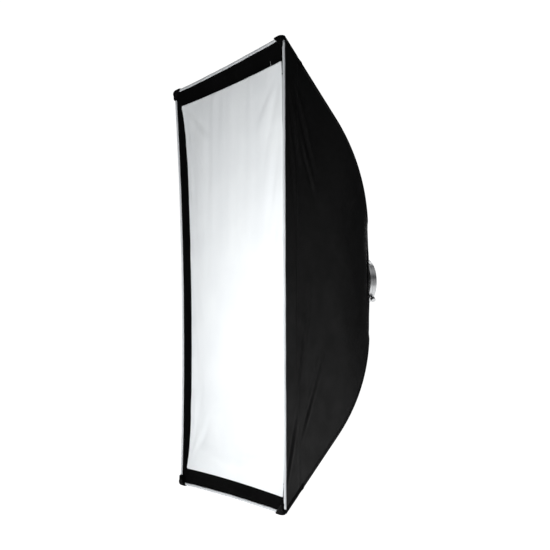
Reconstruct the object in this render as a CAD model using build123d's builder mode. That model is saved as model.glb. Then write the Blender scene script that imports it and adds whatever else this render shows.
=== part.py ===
from build123d import *
from math import atan2, cos, degrees, hypot, radians, sin, tan
import os

# Rectangular softbox, 600 x 900 mm, on a rotating bayonet ring. Millimetres.
#
# The origin is the centre of the bayonet ring's rear face. +Y points back to the lamp, +Z is up
# the long side and +X is to the right as seen from the front, which faces -Y.
# A "depth" is a distance forward of the origin, so a depth of 340 is the plane Y = -340.
#
# Four sprung rods run from sockets on the speed ring to the four front corners. Each rod bends
# in the diagonal plane of its corner, and the cloth ridge over it follows two straight runs
# joined by one arc. The four cloth panels are stretched from ridge to ridge.

# ---------------------------------------------------------------- driving dimensions
FRONT_WIDTH = 600.0
FRONT_HEIGHT = 900.0
RIM_DEPTH = 330.0

FRONT_SLOPE = 43.5      # the ridge against the front plane, at the rim
REAR_SLOPE = 15.0       # and at the speed ring
RIDGE_RADIUS = 610.0    # the arc between the two straight runs
MOUTH_RADIUS = 65.0     # a point that the rear run passes through
MOUTH_DEPTH = 14.5

CLOTH = 1.4             # panel thickness in the diagonal plane
TAPE = 1.0              # bands, hook tape and diffusers

# mount
BORE_R = 38.0
LUG_GROOVE_R = 41.0
LUG_THICKNESS = 3.0
LUG_ROOT = 0.5          # how far a lug runs into the ring's wall
LUG_GROOVE_DEPTH = 8.0
LUG_ANGLE = 50.0
LUG_COUNT = 3
RING_R = 49.0
REAR_WALL = 2.2
REAR_BAND = 8.4         # length of the bayonet ring's outer wall
BEARING_R = 43.4        # the bayonet ring's inner wall, on which the speed ring turns
BEARING_CLEARANCE = 0.15
SLEEVE_R = 45.6
RING_LENGTH = 43.2
EDGE_CHAMFER = 0.8
RETAINER = 3.0
RETAINER_R = 48.5
WASHER_R = 48.0
SIDE_CLEARANCE = 0.15   # each side of the wear washer
RETAINER_SCREW_R = 1.25
RETAINER_SCREW_HOLE_R = 1.3
RETAINER_HEAD_R = 2.35
RETAINER_SINK_R = 2.5
RETAINER_HEAD_DEPTH = 1.1
RETAINER_SCREW_LENGTH = 9.0
RETAINER_HOLE_DEPTH = 8.0
HEX_R = 0.8
HEX_DEPTH = 0.7

# speed ring
HUB_DEPTH = 42.0
HUB_GAP = 0.4           # between the hub and the bayonet ring's band
FLANGE = 4.0
FLANGE_R = 66.0
FLANGE_CHAMFER = 2.0
ARM_REACH = 87.0
ARM_WIDTH = 14.0
ARM_CORNER = 3.0

# rods and their sockets
ROD_R = 2.0
ROD_INSET = 8.0         # rod centre below the ridge
ROD_CLEARANCE = 0.1
ROD_FRONT_DEPTH = RIM_DEPTH - 17.5
SOCKET_R = 4.2
SOCKET_INNER = 54.0
SOCKET_OUTER = 86.0
SOCKET_BORE_END = 62.0
ROD_END_GAP = 0.5
SOCKET_SCREW_AT = 57.5
SOCKET_SCREW_R = 1.5
SOCKET_SCREW_HOLE_R = 1.55
SOCKET_HOLE_DEPTH = 8.0
SOCKET_SCREW_LENGTH = 11.0
SOCKET_HEAD_R = 2.8
SOCKET_HEAD = 1.6
CROSS_LENGTH = 3.4
CROSS_WIDTH = 0.7
CROSS_DEPTH = 0.9
TIP_R = 4.0
TIP_LENGTH = 16.0
TIP_ROUNDING = 1.5
TIP_FRONT_DEPTH = RIM_DEPTH - 15.0
TIP_CLEARANCE = 0.05
SLEEVE_BORE_R = 2.4     # the cloth sleeve over each rod
SLEEVE_OUTER_R = 3.1
SLEEVE_FRONT_DEPTH = RIM_DEPTH - 35.0
SLEEVE_REAR_RADIUS = 112.0

# lock screw
LOCK_ANGLE = -45.0
LOCK_DEPTH = 5.4
STUD_R = 2.0
STUD_CLEARANCE = 0.05
KNOB_R = 5.0
KNOB_LENGTH = 8.5
KNOB_START = 51.5
KNOB_RECESS = 1.6
KNOB_RECESS_R = 3.3
KNURLS = 20
KNURL_R = 0.42
KNURL_OFFSET = 0.12     # from the knob's outside to the centres of its grooves
STUD_IN_KNOB = 6.0
PAD_R = 1.9
PAD_LENGTH = 1.3

# cloth back end
COLLAR_DEPTH = 38.0     # where the panels end and the collar begins
COLLAR_MOUTH = 12.0
COLLAR_R = 50.6
COLLAR_THICKNESS = 1.2
COLLAR_GAP = 0.2
COLLAR_CORNER = 8.0

# rim
BINDING_WIDTH = 8.0
BINDING_THICKNESS = 4.0
BINDING_ROUNDING = 1.5
PANEL_FRONT_DEPTH = RIM_DEPTH - BINDING_THICKNESS - 0.3
CAP_WIDTH = 42.0
CAP_HEIGHT = 24.0
CAP_PROUD = 2.5
CAP_THICKNESS = 9.0
CAP_CORNER = 8.0
CAP_GAP = 0.5           # between a cap and the bindings that end at it
POCKET_LENGTH = 75.0
POCKET_FLAP = 30.0
POCKET_GAP = 0.2
POCKET_CLOTH = 1.2
CAP_BACK = PANEL_FRONT_DEPTH + 0.1
FLAP_FRONT = PANEL_FRONT_DEPTH + 0.25

# front diffuser and the band that it sticks to
BAND_DEPTH = RIM_DEPTH - 10.3
BAND_OUTER_X = 292.6
BAND_OUTER_Z = 439.0
BAND_INNER_X = 246.0
BAND_INNER_Z = 373.0
BAND_GAP = 0.2
DIFFUSER_WIDTH = 550.0
DIFFUSER_HEIGHT = 820.0
HOOK_WIDTH = 22.0
HOOK_GAP = 0.3
HOOK_END_GAP = 0.5

# inner baffle
BAFFLE_DEPTH = 190.0
BAFFLE_WIDTH = 340.0
BAFFLE_HEIGHT = 560.0
STRAP_WIDTH = 20.0
STRAP_X = 110.0         # places of the straps along the short sides
STRAP_Z = 180.0         # and along the long sides
STRAP_GAP = 0.2
STRAP_END = 4.0         # how far a strap stops short of the panel
TAB_WIDTH = 26.0
TAB_LENGTH = 34.0

# ---------------------------------------------------------------- derived geometry
HALF_W = FRONT_WIDTH / 2
HALF_H = FRONT_HEIGHT / 2
CORNER_R = hypot(HALF_W, HALF_H)
DIAGONAL = degrees(atan2(HALF_H, HALF_W))
COS_D = HALF_W / CORNER_R
SIN_D = HALF_H / CORNER_R

CORNERS = {"top_right": (1, 1), "top_left": (-1, 1), "bottom_left": (-1, -1), "bottom_right": (1, -1)}


def pair(point):
    """A point's two plane coordinates, which a line builder places in its own plane."""
    return (point.X, point.Y)


def run_direction(slope):
    """Unit vector of a ridge run going out and forward, in (radius, Y)."""
    return Vector(cos(radians(slope)), -sin(radians(slope)))


def outward(slope):
    """Unit vector square to a ridge run, pointing out of the shell."""
    return Vector(sin(radians(slope)), cos(radians(slope)))


def ridge_centre():
    """Centre of the ridge's arc, in (radius, Y) of the diagonal plane."""
    corner = Vector(CORNER_R, -RIM_DEPTH)
    mouth = Vector(MOUTH_RADIUS, -MOUTH_DEPTH)
    front, rear = run_direction(FRONT_SLOPE), run_direction(REAR_SLOPE)
    gap = corner - mouth
    to_knee = (gap.X * rear.Y - gap.Y * rear.X) / (front.X * rear.Y - front.Y * rear.X)
    knee = corner - front * to_knee
    arc_start = knee + front * (RIDGE_RADIUS * tan(radians(FRONT_SLOPE - REAR_SLOPE) / 2))
    return arc_start - outward(FRONT_SLOPE) * RIDGE_RADIUS


ARC_CENTRE = ridge_centre()


def front_run_point(inset, depth):
    """Point at this depth on the front run, the ridge moved in by inset."""
    start = ARC_CENTRE + outward(FRONT_SLOPE) * (RIDGE_RADIUS - inset)
    direction = run_direction(FRONT_SLOPE)
    return start + direction * ((-depth - start.Y) / direction.Y)


def rear_run_point(inset, radius):
    """Point at this radius on the rear run, the ridge moved in by inset."""
    end = ARC_CENTRE + outward(REAR_SLOPE) * (RIDGE_RADIUS - inset)
    direction = run_direction(REAR_SLOPE)
    return end + direction * ((radius - end.X) / direction.X)


def arc_point(inset, depth):
    """Point at this depth on the arc, the ridge moved in by inset."""
    radius = RIDGE_RADIUS - inset
    rise = -depth - ARC_CENTRE.Y
    return Vector(ARC_CENTRE.X + (radius**2 - rise**2) ** 0.5, -depth)


def slope_of(point):
    """Slope of the ridge at a point of its arc."""
    return degrees(atan2(point.X - ARC_CENTRE.X, point.Y - ARC_CENTRE.Y))


def ridge_curve(inset, front_point, rear_point):
    """Front run and arc between two points, and the rear run if the second is past the arc."""
    radius = RIDGE_RADIUS - inset
    arc_end = ARC_CENTRE + outward(REAR_SLOPE) * radius
    on_arc = rear_point.X > arc_end.X
    end_slope = slope_of(rear_point) if on_arc else REAR_SLOPE
    CenterArc(pair(ARC_CENTRE), radius, 90 - FRONT_SLOPE, FRONT_SLOPE - end_slope)
    Line(pair(front_point), pair(ARC_CENTRE + outward(FRONT_SLOPE) * radius))
    if not on_arc:
        Line(pair(arc_end), pair(rear_point))


def depth_plane(depth):
    """Plane square to Y, its local x and y along X and Z, its normal to the front."""
    return Plane.XZ.offset(depth)


def diagonal_plane(corner):
    """Plane through the Y axis and a front corner: local x is the radius, local y is Y."""
    side_x, side_z = corner
    return Plane(
        (0, 0, 0), x_dir=(side_x * COS_D, 0, side_z * SIN_D), z_dir=(-side_z * SIN_D, 0, side_x * COS_D)
    )


def radial_plane(angle, depth, radius):
    """Plane square to a radius of the ring, at this angle from X towards Z."""
    direction = Vector(cos(radians(angle)), 0, sin(radians(angle)))
    return Plane(direction * radius + Vector(0, -depth, 0), x_dir=(0, 1, 0), z_dir=direction)


def save(part, name):
    part.label = name
    export_step(part, f"parts/{name}.step")


os.makedirs("parts", exist_ok=True)

# ---------------------------------------------------------------- mount, fixed to the lamp
SCREW_CIRCLE = (BORE_R + BEARING_R) / 2
SLEEVE_BORE = SLEEVE_R + BEARING_CLEARANCE

with BuildPart() as bayonet_ring:
    with BuildSketch(Plane.XY):
        with BuildLine():
            Polyline(
                (BORE_R, -RING_LENGTH),
                (BEARING_R, -RING_LENGTH),
                (BEARING_R, -REAR_WALL),
                (SLEEVE_BORE, -REAR_WALL),
                (SLEEVE_BORE, -REAR_BAND),
                (RING_R, -REAR_BAND),
                (RING_R, -EDGE_CHAMFER),
                (RING_R - EDGE_CHAMFER, 0),
                (LUG_GROOVE_R, 0),
                (LUG_GROOVE_R, -LUG_GROOVE_DEPTH),
                (BORE_R, -LUG_GROOVE_DEPTH),
                close=True,
            )
        make_face()
    revolve(axis=Axis.Y)
    for i in range(LUG_COUNT):
        with BuildSketch(Plane.XY.rotated((0, i * 360 / LUG_COUNT, 0))):
            with Locations((BORE_R, -LUG_THICKNESS)):
                Rectangle(LUG_GROOVE_R - BORE_R + LUG_ROOT, LUG_THICKNESS, align=(Align.MIN, Align.MIN))
        revolve(axis=Axis.Y, revolution_arc=LUG_ANGLE)
    with BuildSketch(radial_plane(LOCK_ANGLE, LOCK_DEPTH, BEARING_R)):
        Circle(STUD_R + STUD_CLEARANCE)
    extrude(amount=RING_R, mode=Mode.SUBTRACT)
    with BuildSketch(depth_plane(RING_LENGTH)):
        with PolarLocations(SCREW_CIRCLE, LUG_COUNT):
            Circle(RETAINER_SCREW_HOLE_R)
    extrude(amount=-RETAINER_HOLE_DEPTH, mode=Mode.SUBTRACT)
save(bayonet_ring.part, "bayonet_ring")

with BuildPart() as retaining_ring:
    with BuildSketch(depth_plane(RING_LENGTH)):
        Circle(RETAINER_R)
        Circle(BORE_R, mode=Mode.SUBTRACT)
    extrude(amount=RETAINER)
    with Locations(depth_plane(RING_LENGTH + RETAINER)):
        with PolarLocations(SCREW_CIRCLE, LUG_COUNT):
            CounterSinkHole(RETAINER_SCREW_HOLE_R, RETAINER_SINK_R)
save(retaining_ring.part, "retaining_ring")

with BuildPart() as retaining_screws:
    retainer_face = depth_plane(RING_LENGTH + RETAINER)
    with BuildSketch(retainer_face):
        with PolarLocations(SCREW_CIRCLE, LUG_COUNT):
            Circle(RETAINER_SCREW_R)
    extrude(amount=-RETAINER_SCREW_LENGTH)
    with BuildSketch(retainer_face):
        with PolarLocations(SCREW_CIRCLE, LUG_COUNT):
            Circle(RETAINER_HEAD_R)
    extrude(amount=-RETAINER_HEAD_DEPTH, taper=45)
    with BuildSketch(retainer_face):
        with PolarLocations(SCREW_CIRCLE, LUG_COUNT):
            RegularPolygon(HEX_R, 6)
    extrude(amount=-HEX_DEPTH, mode=Mode.SUBTRACT)
save(retaining_screws.part, "retaining_screws")

with BuildPart() as wear_washer:
    with BuildSketch(depth_plane(HUB_DEPTH + SIDE_CLEARANCE)):
        Circle(WASHER_R)
        Circle(BEARING_R + 2 * BEARING_CLEARANCE, mode=Mode.SUBTRACT)
    extrude(amount=RING_LENGTH - HUB_DEPTH - 2 * SIDE_CLEARANCE)
save(wear_washer.part, "wear_washer")

# ---------------------------------------------------------------- lock screw
STUD_START = SLEEVE_BORE + PAD_LENGTH + STUD_CLEARANCE
KNOB_PLANE = radial_plane(LOCK_ANGLE, LOCK_DEPTH, KNOB_START)

with BuildPart() as lock_pad:
    with BuildSketch(radial_plane(LOCK_ANGLE, LOCK_DEPTH, SLEEVE_BORE)):
        Circle(PAD_R)
    extrude(amount=PAD_LENGTH)
save(lock_pad.part, "lock_pad")

with BuildPart() as lock_stud:
    with BuildSketch(radial_plane(LOCK_ANGLE, LOCK_DEPTH, STUD_START)):
        Circle(STUD_R)
    extrude(amount=KNOB_START + STUD_IN_KNOB - STUD_START)
save(lock_stud.part, "lock_stud")

with BuildPart() as lock_knob:
    with BuildSketch(KNOB_PLANE):
        Circle(KNOB_R)
        with PolarLocations(KNOB_R + KNURL_OFFSET, KNURLS):
            Circle(KNURL_R, mode=Mode.SUBTRACT)
    extrude(amount=KNOB_LENGTH)
    with BuildSketch(KNOB_PLANE):
        Circle(KNOB_R + 1)
        Circle(KNOB_RECESS_R, mode=Mode.SUBTRACT)
    extrude(amount=KNOB_RECESS, mode=Mode.SUBTRACT)
    with BuildSketch(KNOB_PLANE):
        Circle(STUD_R)
    extrude(amount=STUD_IN_KNOB, mode=Mode.SUBTRACT)
save(lock_knob.part, "lock_knob")

# ---------------------------------------------------------------- speed ring and sockets
SPEEDRING_BORE = BEARING_R + BEARING_CLEARANCE
SCREW_PLACES = [
    (side_x * COS_D * SOCKET_SCREW_AT, side_z * SIN_D * SOCKET_SCREW_AT)
    for side_x, side_z in CORNERS.values()
]

with BuildPart() as speedring:
    with BuildSketch(Plane.XY):
        with BuildLine():
            Polyline(
                (SPEEDRING_BORE, -HUB_DEPTH),
                (FLANGE_R, -HUB_DEPTH),
                (FLANGE_R, -HUB_DEPTH + FLANGE),
                (RING_R + FLANGE_CHAMFER, -HUB_DEPTH + FLANGE),
                (RING_R, -HUB_DEPTH + FLANGE + FLANGE_CHAMFER),
                (RING_R, -REAR_BAND - HUB_GAP),
                (SLEEVE_R, -REAR_BAND - HUB_GAP),
                (SLEEVE_R, -REAR_WALL - HUB_GAP),
                (SPEEDRING_BORE, -REAR_WALL - HUB_GAP),
                close=True,
            )
        make_face()
    revolve(axis=Axis.Y)
    with BuildSketch(depth_plane(HUB_DEPTH - FLANGE)):
        for side_x, side_z in CORNERS.values():
            middle = (RING_R + ARM_REACH) / 2
            turn = side_x * side_z * DIAGONAL
            with Locations(Location((side_x * COS_D * middle, side_z * SIN_D * middle, 0), (0, 0, turn))):
                RectangleRounded(ARM_REACH - RING_R, ARM_WIDTH, ARM_CORNER)
    extrude(amount=FLANGE)
    with BuildSketch(depth_plane(HUB_DEPTH)):
        with Locations(*SCREW_PLACES):
            Circle(SOCKET_SCREW_HOLE_R)
    extrude(amount=-FLANGE, mode=Mode.SUBTRACT)
save(speedring.part, "speedring")


def rod_end_plane(corner, inset, radius):
    """Plane square to the rod in its rear run, at this radius, facing out along the rod."""
    plane = diagonal_plane(corner)
    point = rear_run_point(inset, radius)
    ahead = point + run_direction(REAR_SLOPE)
    origin = plane.from_local_coords(point)
    return Plane(origin, z_dir=plane.from_local_coords(ahead) - origin)


def rod_socket(corner):
    """Foot on the speed ring's arm and a tube along the rod."""
    inner = rear_run_point(ROD_INSET, SOCKET_INNER)
    outer = rear_run_point(ROD_INSET, SOCKET_OUTER)
    bore_end = rear_run_point(ROD_INSET, SOCKET_BORE_END)
    with BuildPart() as socket:
        with BuildSketch(diagonal_plane(corner)):
            with BuildLine():
                Polyline(
                    (inner.X, -HUB_DEPTH + FLANGE),
                    (outer.X, -HUB_DEPTH + FLANGE),
                    (outer.X, outer.Y),
                    (inner.X, inner.Y),
                    close=True,
                )
            make_face()
        extrude(amount=SOCKET_R, both=True)
        mouth = rod_end_plane(corner, ROD_INSET, SOCKET_OUTER)
        with BuildSketch(mouth):
            Circle(SOCKET_R)
        extrude(amount=-(outer - inner).length)
        with BuildSketch(mouth):
            Circle(ROD_R + ROD_CLEARANCE)
        extrude(amount=-(outer - bore_end).length, mode=Mode.SUBTRACT)
        with BuildSketch(mouth):
            Circle(ROD_R + ROD_CLEARANCE)
        extrude(amount=SOCKET_R, mode=Mode.SUBTRACT)
        with BuildSketch(depth_plane(HUB_DEPTH - FLANGE)):
            with Locations((corner[0] * COS_D * SOCKET_SCREW_AT, corner[1] * SIN_D * SOCKET_SCREW_AT)):
                Circle(SOCKET_SCREW_HOLE_R)
        extrude(amount=-SOCKET_HOLE_DEPTH, mode=Mode.SUBTRACT)
    return socket.part


def rod(corner):
    """Round rod, bent in the diagonal plane of its corner."""
    rear_radius = SOCKET_BORE_END + ROD_END_GAP
    with BuildPart() as bent_rod:
        with BuildLine(diagonal_plane(corner)):
            front = front_run_point(ROD_INSET, ROD_FRONT_DEPTH)
            ridge_curve(ROD_INSET, front, rear_run_point(ROD_INSET, rear_radius))
        with BuildSketch(rod_end_plane(corner, ROD_INSET, rear_radius)):
            Circle(ROD_R)
        sweep()
    return bent_rod.part


def rod_sleeve(corner):
    """Narrow cloth sleeve sewn under the ridge, which holds the rod."""
    front = front_run_point(ROD_INSET, SLEEVE_FRONT_DEPTH)
    rear = rear_run_point(ROD_INSET, SLEEVE_REAR_RADIUS)
    with BuildLine(diagonal_plane(corner)) as path:
        ridge_curve(ROD_INSET, front, rear)
    with BuildPart() as sleeve:
        for radius, mode in ((SLEEVE_OUTER_R, Mode.ADD), (SLEEVE_BORE_R, Mode.SUBTRACT)):
            with BuildSketch(rod_end_plane(corner, ROD_INSET, SLEEVE_REAR_RADIUS)):
                Circle(radius)
            sweep(path=path.line, mode=mode)
    return sleeve.part


def rod_tip(corner):
    """Plastic cap pressed over the rod's front end."""
    plane = diagonal_plane(corner)
    end = plane.from_local_coords(front_run_point(ROD_INSET, TIP_FRONT_DEPTH))
    ahead = plane.from_local_coords(front_run_point(ROD_INSET, TIP_FRONT_DEPTH + 1))
    rod_end = plane.from_local_coords(front_run_point(ROD_INSET, ROD_FRONT_DEPTH))
    end_plane = Plane(end, z_dir=ahead - end)
    with BuildPart() as tip:
        with BuildSketch(end_plane):
            Circle(TIP_R)
        extrude(amount=-TIP_LENGTH)
        fillet(tip.faces().sort_by(Axis.Y)[0].edges(), TIP_ROUNDING)
        with BuildSketch(end_plane.offset(-TIP_LENGTH)):
            Circle(ROD_R + TIP_CLEARANCE)
        extrude(amount=TIP_LENGTH - (end - rod_end).length + TIP_CLEARANCE, mode=Mode.SUBTRACT)
    return tip.part


for corner_name, corner in CORNERS.items():
    save(rod_socket(corner), f"rod_socket_{corner_name}")
    save(rod(corner), f"rod_{corner_name}")
    save(rod_sleeve(corner), f"rod_sleeve_{corner_name}")
    save(rod_tip(corner), f"rod_tip_{corner_name}")

with BuildPart() as socket_screws:
    with BuildSketch(depth_plane(HUB_DEPTH)):
        with Locations(*SCREW_PLACES):
            Circle(SOCKET_SCREW_R)
    extrude(amount=-SOCKET_SCREW_LENGTH)
    with BuildSketch(depth_plane(HUB_DEPTH)):
        with Locations(*SCREW_PLACES):
            Circle(SOCKET_HEAD_R)
    extrude(amount=SOCKET_HEAD)
    with BuildSketch(depth_plane(HUB_DEPTH + SOCKET_HEAD)):
        with Locations(*SCREW_PLACES):
            Rectangle(CROSS_LENGTH, CROSS_WIDTH)
            Rectangle(CROSS_WIDTH, CROSS_LENGTH)
    extrude(amount=-CROSS_DEPTH, mode=Mode.SUBTRACT)
save(socket_screws.part, "socket_screws")

# ---------------------------------------------------------------- cloth shell
# Each side's corners, the direction from the first corner to the second, and the way it faces.
PANEL_SIDES = {
    "right": ((1, 1), (1, -1), (0, 0, -1), (1, 0, 0)),
    "left": ((-1, 1), (-1, -1), (0, 0, -1), (-1, 0, 0)),
    "top": ((1, 1), (-1, 1), (-1, 0, 0), (0, 0, 1)),
    "bottom": ((1, -1), (-1, -1), (-1, 0, 0), (0, 0, -1)),
}


def shell_panel(start, end, along, facing):
    """Cloth stretched straight across from the ridge at start to the ridge at end."""
    mitre = diagonal_plane(end)
    if mitre.z_dir.dot(Vector(facing)) < 0:
        mitre = -mitre
    with BuildPart() as panel:
        with BuildSketch(diagonal_plane(start)):
            with BuildLine():
                for inset in (0, CLOTH):
                    ridge_curve(
                        inset, front_run_point(inset, PANEL_FRONT_DEPTH), arc_point(inset, COLLAR_DEPTH)
                    )
                for end_point, depth in ((front_run_point, PANEL_FRONT_DEPTH), (arc_point, COLLAR_DEPTH)):
                    Line(pair(end_point(0, depth)), pair(end_point(CLOTH, depth)))
            make_face()
        extrude(amount=2 * FRONT_HEIGHT, dir=along)
        split(bisect_by=mitre, keep=Keep.TOP)
    return panel.part


for side, geometry in PANEL_SIDES.items():
    save(shell_panel(*geometry), f"shell_panel_{side}")

SHELL_END = arc_point(0, COLLAR_DEPTH).X
with BuildPart() as rear_collar:
    for shrink, mode in ((0, Mode.ADD), (COLLAR_THICKNESS, Mode.SUBTRACT)):
        with BuildSketch(depth_plane(COLLAR_DEPTH - COLLAR_GAP)):
            half_width, half_height = COS_D * SHELL_END - shrink, SIN_D * SHELL_END - shrink
            RectangleRounded(2 * half_width, 2 * half_height, COLLAR_CORNER)
        with BuildSketch(depth_plane(COLLAR_MOUTH)):
            mouth_r = COLLAR_R - shrink
            RectangleRounded(2 * mouth_r, 2 * mouth_r, mouth_r - 0.1)
        loft(ruled=True, mode=mode)
save(rear_collar.part, "rear_collar")


def corner_pocket(corner):
    """Reinforced pocket: two flaps down the panels and a padded cap over the rim's corner."""
    side_x, side_z = corner
    front = front_run_point(-POCKET_GAP, FLAP_FRONT)
    rear = front - run_direction(FRONT_SLOPE) * POCKET_LENGTH
    thickness = outward(FRONT_SLOPE) * POCKET_CLOTH
    with BuildPart() as pocket:
        for along in ((0, 0, -side_z), (-side_x, 0, 0)):
            with BuildSketch(diagonal_plane(corner)):
                with BuildLine():
                    Polyline(
                        pair(front), pair(rear), pair(rear + thickness), pair(front + thickness), close=True
                    )
                make_face()
            extrude(amount=POCKET_FLAP, dir=along)
        cap_x = side_x * (HALF_W + CAP_PROUD - CAP_WIDTH / 2)
        cap_z = side_z * (HALF_H + CAP_PROUD - CAP_HEIGHT / 2)
        with BuildSketch(depth_plane(CAP_BACK)) as cap_outline:
            with Locations((cap_x, cap_z)):
                Rectangle(CAP_WIDTH, CAP_HEIGHT)
            corner_point = Vector(side_x * HALF_W, side_z * HALF_H)
            outermost = cap_outline.vertices().sort_by(lambda v: (Vector(v.X, v.Y) - corner_point).length)[0]
            fillet(outermost, CAP_CORNER)
        extrude(amount=CAP_THICKNESS)
    return pocket.part


for corner_name, corner in CORNERS.items():
    save(corner_pocket(corner), f"corner_pocket_{corner_name}")

# ---------------------------------------------------------------- rim binding and loop bands
BINDING_X = HALF_W + CAP_PROUD - CAP_WIDTH - CAP_GAP     # where the top and bottom bindings end
BINDING_Z = HALF_H + CAP_PROUD - CAP_HEIGHT - CAP_GAP    # where the side bindings end
BINDING_DEPTH = RIM_DEPTH - BINDING_THICKNESS
BAND_WIDTH_X = BAND_OUTER_X - BAND_INNER_X
BAND_WIDTH_Z = BAND_OUTER_Z - BAND_INNER_Z


def flat_strip(centre, width, height, depth, thickness, rounding=0.0):
    """Strip square to Y, from this depth forward."""
    with BuildPart() as strip:
        with BuildSketch(depth_plane(depth)):
            with Locations(centre):
                Rectangle(width, height)
        extrude(amount=thickness)
        if rounding:
            long_axis = Axis.X if width > height else Axis.Z
            fillet(strip.edges().filter_by(long_axis), rounding)
    return strip.part


def binding(centre, width, height):
    """Woven tape folded over the rim."""
    return flat_strip(centre, width, height, BINDING_DEPTH, BINDING_THICKNESS, BINDING_ROUNDING)


for side, sign in (("right", 1), ("left", -1)):
    binding_centre = (sign * (HALF_W - BINDING_WIDTH / 2), 0)
    save(binding(binding_centre, BINDING_WIDTH, 2 * BINDING_Z), f"rim_binding_{side}")
    band_centre = (sign * (BAND_OUTER_X + BAND_INNER_X) / 2, 0)
    side_band = flat_strip(band_centre, BAND_WIDTH_X, 2 * (BAND_INNER_Z - BAND_GAP), BAND_DEPTH, TAPE)
    save(side_band, f"loop_band_{side}")

for side, sign in (("top", 1), ("bottom", -1)):
    binding_centre = (0, sign * (HALF_H - BINDING_WIDTH / 2))
    save(binding(binding_centre, 2 * BINDING_X, BINDING_WIDTH), f"rim_binding_{side}")
    band_centre = (0, sign * (BAND_OUTER_Z + BAND_INNER_Z) / 2)
    end_band = flat_strip(band_centre, 2 * BAND_OUTER_X, BAND_WIDTH_Z, BAND_DEPTH, TAPE)
    save(end_band, f"loop_band_{side}")

# ---------------------------------------------------------------- front diffuser
HOOK_DEPTH = BAND_DEPTH + TAPE + HOOK_GAP
front_diffuser = flat_strip((0, 0), DIFFUSER_WIDTH, DIFFUSER_HEIGHT, HOOK_DEPTH + TAPE, TAPE)
save(front_diffuser, "front_diffuser")

with BuildPart() as diffuser_hook_tape:
    with BuildSketch(depth_plane(HOOK_DEPTH)):
        for sign in (-1, 1):
            with Locations((0, sign * (DIFFUSER_HEIGHT - HOOK_WIDTH) / 2)):
                Rectangle(DIFFUSER_WIDTH, HOOK_WIDTH)
            with Locations((sign * (DIFFUSER_WIDTH - HOOK_WIDTH) / 2, 0)):
                Rectangle(HOOK_WIDTH, DIFFUSER_HEIGHT - 2 * (HOOK_WIDTH + HOOK_END_GAP))
    extrude(amount=TAPE)
save(diffuser_hook_tape.part, "diffuser_hook_tape")

# ---------------------------------------------------------------- inner baffle, straps and tabs
save(flat_strip((0, 0), BAFFLE_WIDTH, BAFFLE_HEIGHT, BAFFLE_DEPTH, TAPE), "inner_baffle")

BAFFLE_SHELL_R = front_run_point(CLOTH, BAFFLE_DEPTH).X
STRAP_END_X = BAFFLE_SHELL_R * COS_D - STRAP_END
STRAP_END_Z = BAFFLE_SHELL_R * SIN_D - STRAP_END
STRAP_START_X = BAFFLE_WIDTH / 2 + STRAP_GAP
STRAP_START_Z = BAFFLE_HEIGHT / 2 + STRAP_GAP

with BuildPart() as baffle_straps:
    with BuildSketch(depth_plane(BAFFLE_DEPTH)):
        for sign in (-1, 1):
            for place in (-1, 1):
                with Locations((sign * (STRAP_START_X + STRAP_END_X) / 2, place * STRAP_Z)):
                    Rectangle(STRAP_END_X - STRAP_START_X, STRAP_WIDTH)
                with Locations((place * STRAP_X, sign * (STRAP_START_Z + STRAP_END_Z) / 2)):
                    Rectangle(STRAP_WIDTH, STRAP_END_Z - STRAP_START_Z)
    extrude(amount=TAPE)
save(baffle_straps.part, "baffle_straps")


def tab_lean(share):
    """Lean of a panel at the baffle, where share is its distance from Y over the ridge's."""
    slope = radians(FRONT_SLOPE)
    return atan2(sin(slope), cos(slope) * share)


with BuildPart() as strap_tabs:
    side_lean, end_lean = tab_lean(COS_D), tab_lean(SIN_D)
    for sign in (-1, 1):
        for place in (-1, 1):
            side_plane = Plane(
                (sign * STRAP_END_X, -BAFFLE_DEPTH, place * STRAP_Z),
                x_dir=(0, 0, 1),
                z_dir=(sign * sin(side_lean), cos(side_lean), 0),
            )
            end_plane = Plane(
                (place * STRAP_X, -BAFFLE_DEPTH, sign * STRAP_END_Z),
                x_dir=(1, 0, 0),
                z_dir=(0, cos(end_lean), sign * sin(end_lean)),
            )
            for tab_plane in (side_plane, end_plane):
                with BuildSketch(tab_plane):
                    Rectangle(TAB_WIDTH, TAB_LENGTH)
                extrude(amount=TAPE)
save(strap_tabs.part, "strap_tabs")
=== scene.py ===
from math import cos, hypot, pi, radians, sin, tan

import bmesh
import bpy
import numpy as np
from mathutils import Matrix, Vector


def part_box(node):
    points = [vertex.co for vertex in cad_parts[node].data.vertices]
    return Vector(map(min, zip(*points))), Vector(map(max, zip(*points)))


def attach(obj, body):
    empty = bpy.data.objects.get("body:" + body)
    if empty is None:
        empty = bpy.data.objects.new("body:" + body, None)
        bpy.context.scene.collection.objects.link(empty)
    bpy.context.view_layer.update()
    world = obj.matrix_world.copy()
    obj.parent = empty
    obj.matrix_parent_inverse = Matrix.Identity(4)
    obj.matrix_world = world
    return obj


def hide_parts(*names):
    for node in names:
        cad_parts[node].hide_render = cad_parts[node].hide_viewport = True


# Rectangular softbox. Metres, in the CAD model's frame: the front faces -Y, +Z is up the long side
# and +X is to the right as seen from the front. A "depth" is a distance forward of the origin.
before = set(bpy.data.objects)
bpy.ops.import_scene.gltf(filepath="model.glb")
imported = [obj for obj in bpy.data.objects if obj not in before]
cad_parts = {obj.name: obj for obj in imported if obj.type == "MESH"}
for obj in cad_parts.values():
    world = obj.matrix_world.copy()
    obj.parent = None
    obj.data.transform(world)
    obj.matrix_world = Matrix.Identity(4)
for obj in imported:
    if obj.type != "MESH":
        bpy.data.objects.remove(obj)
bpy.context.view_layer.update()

MM = 0.001

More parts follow.
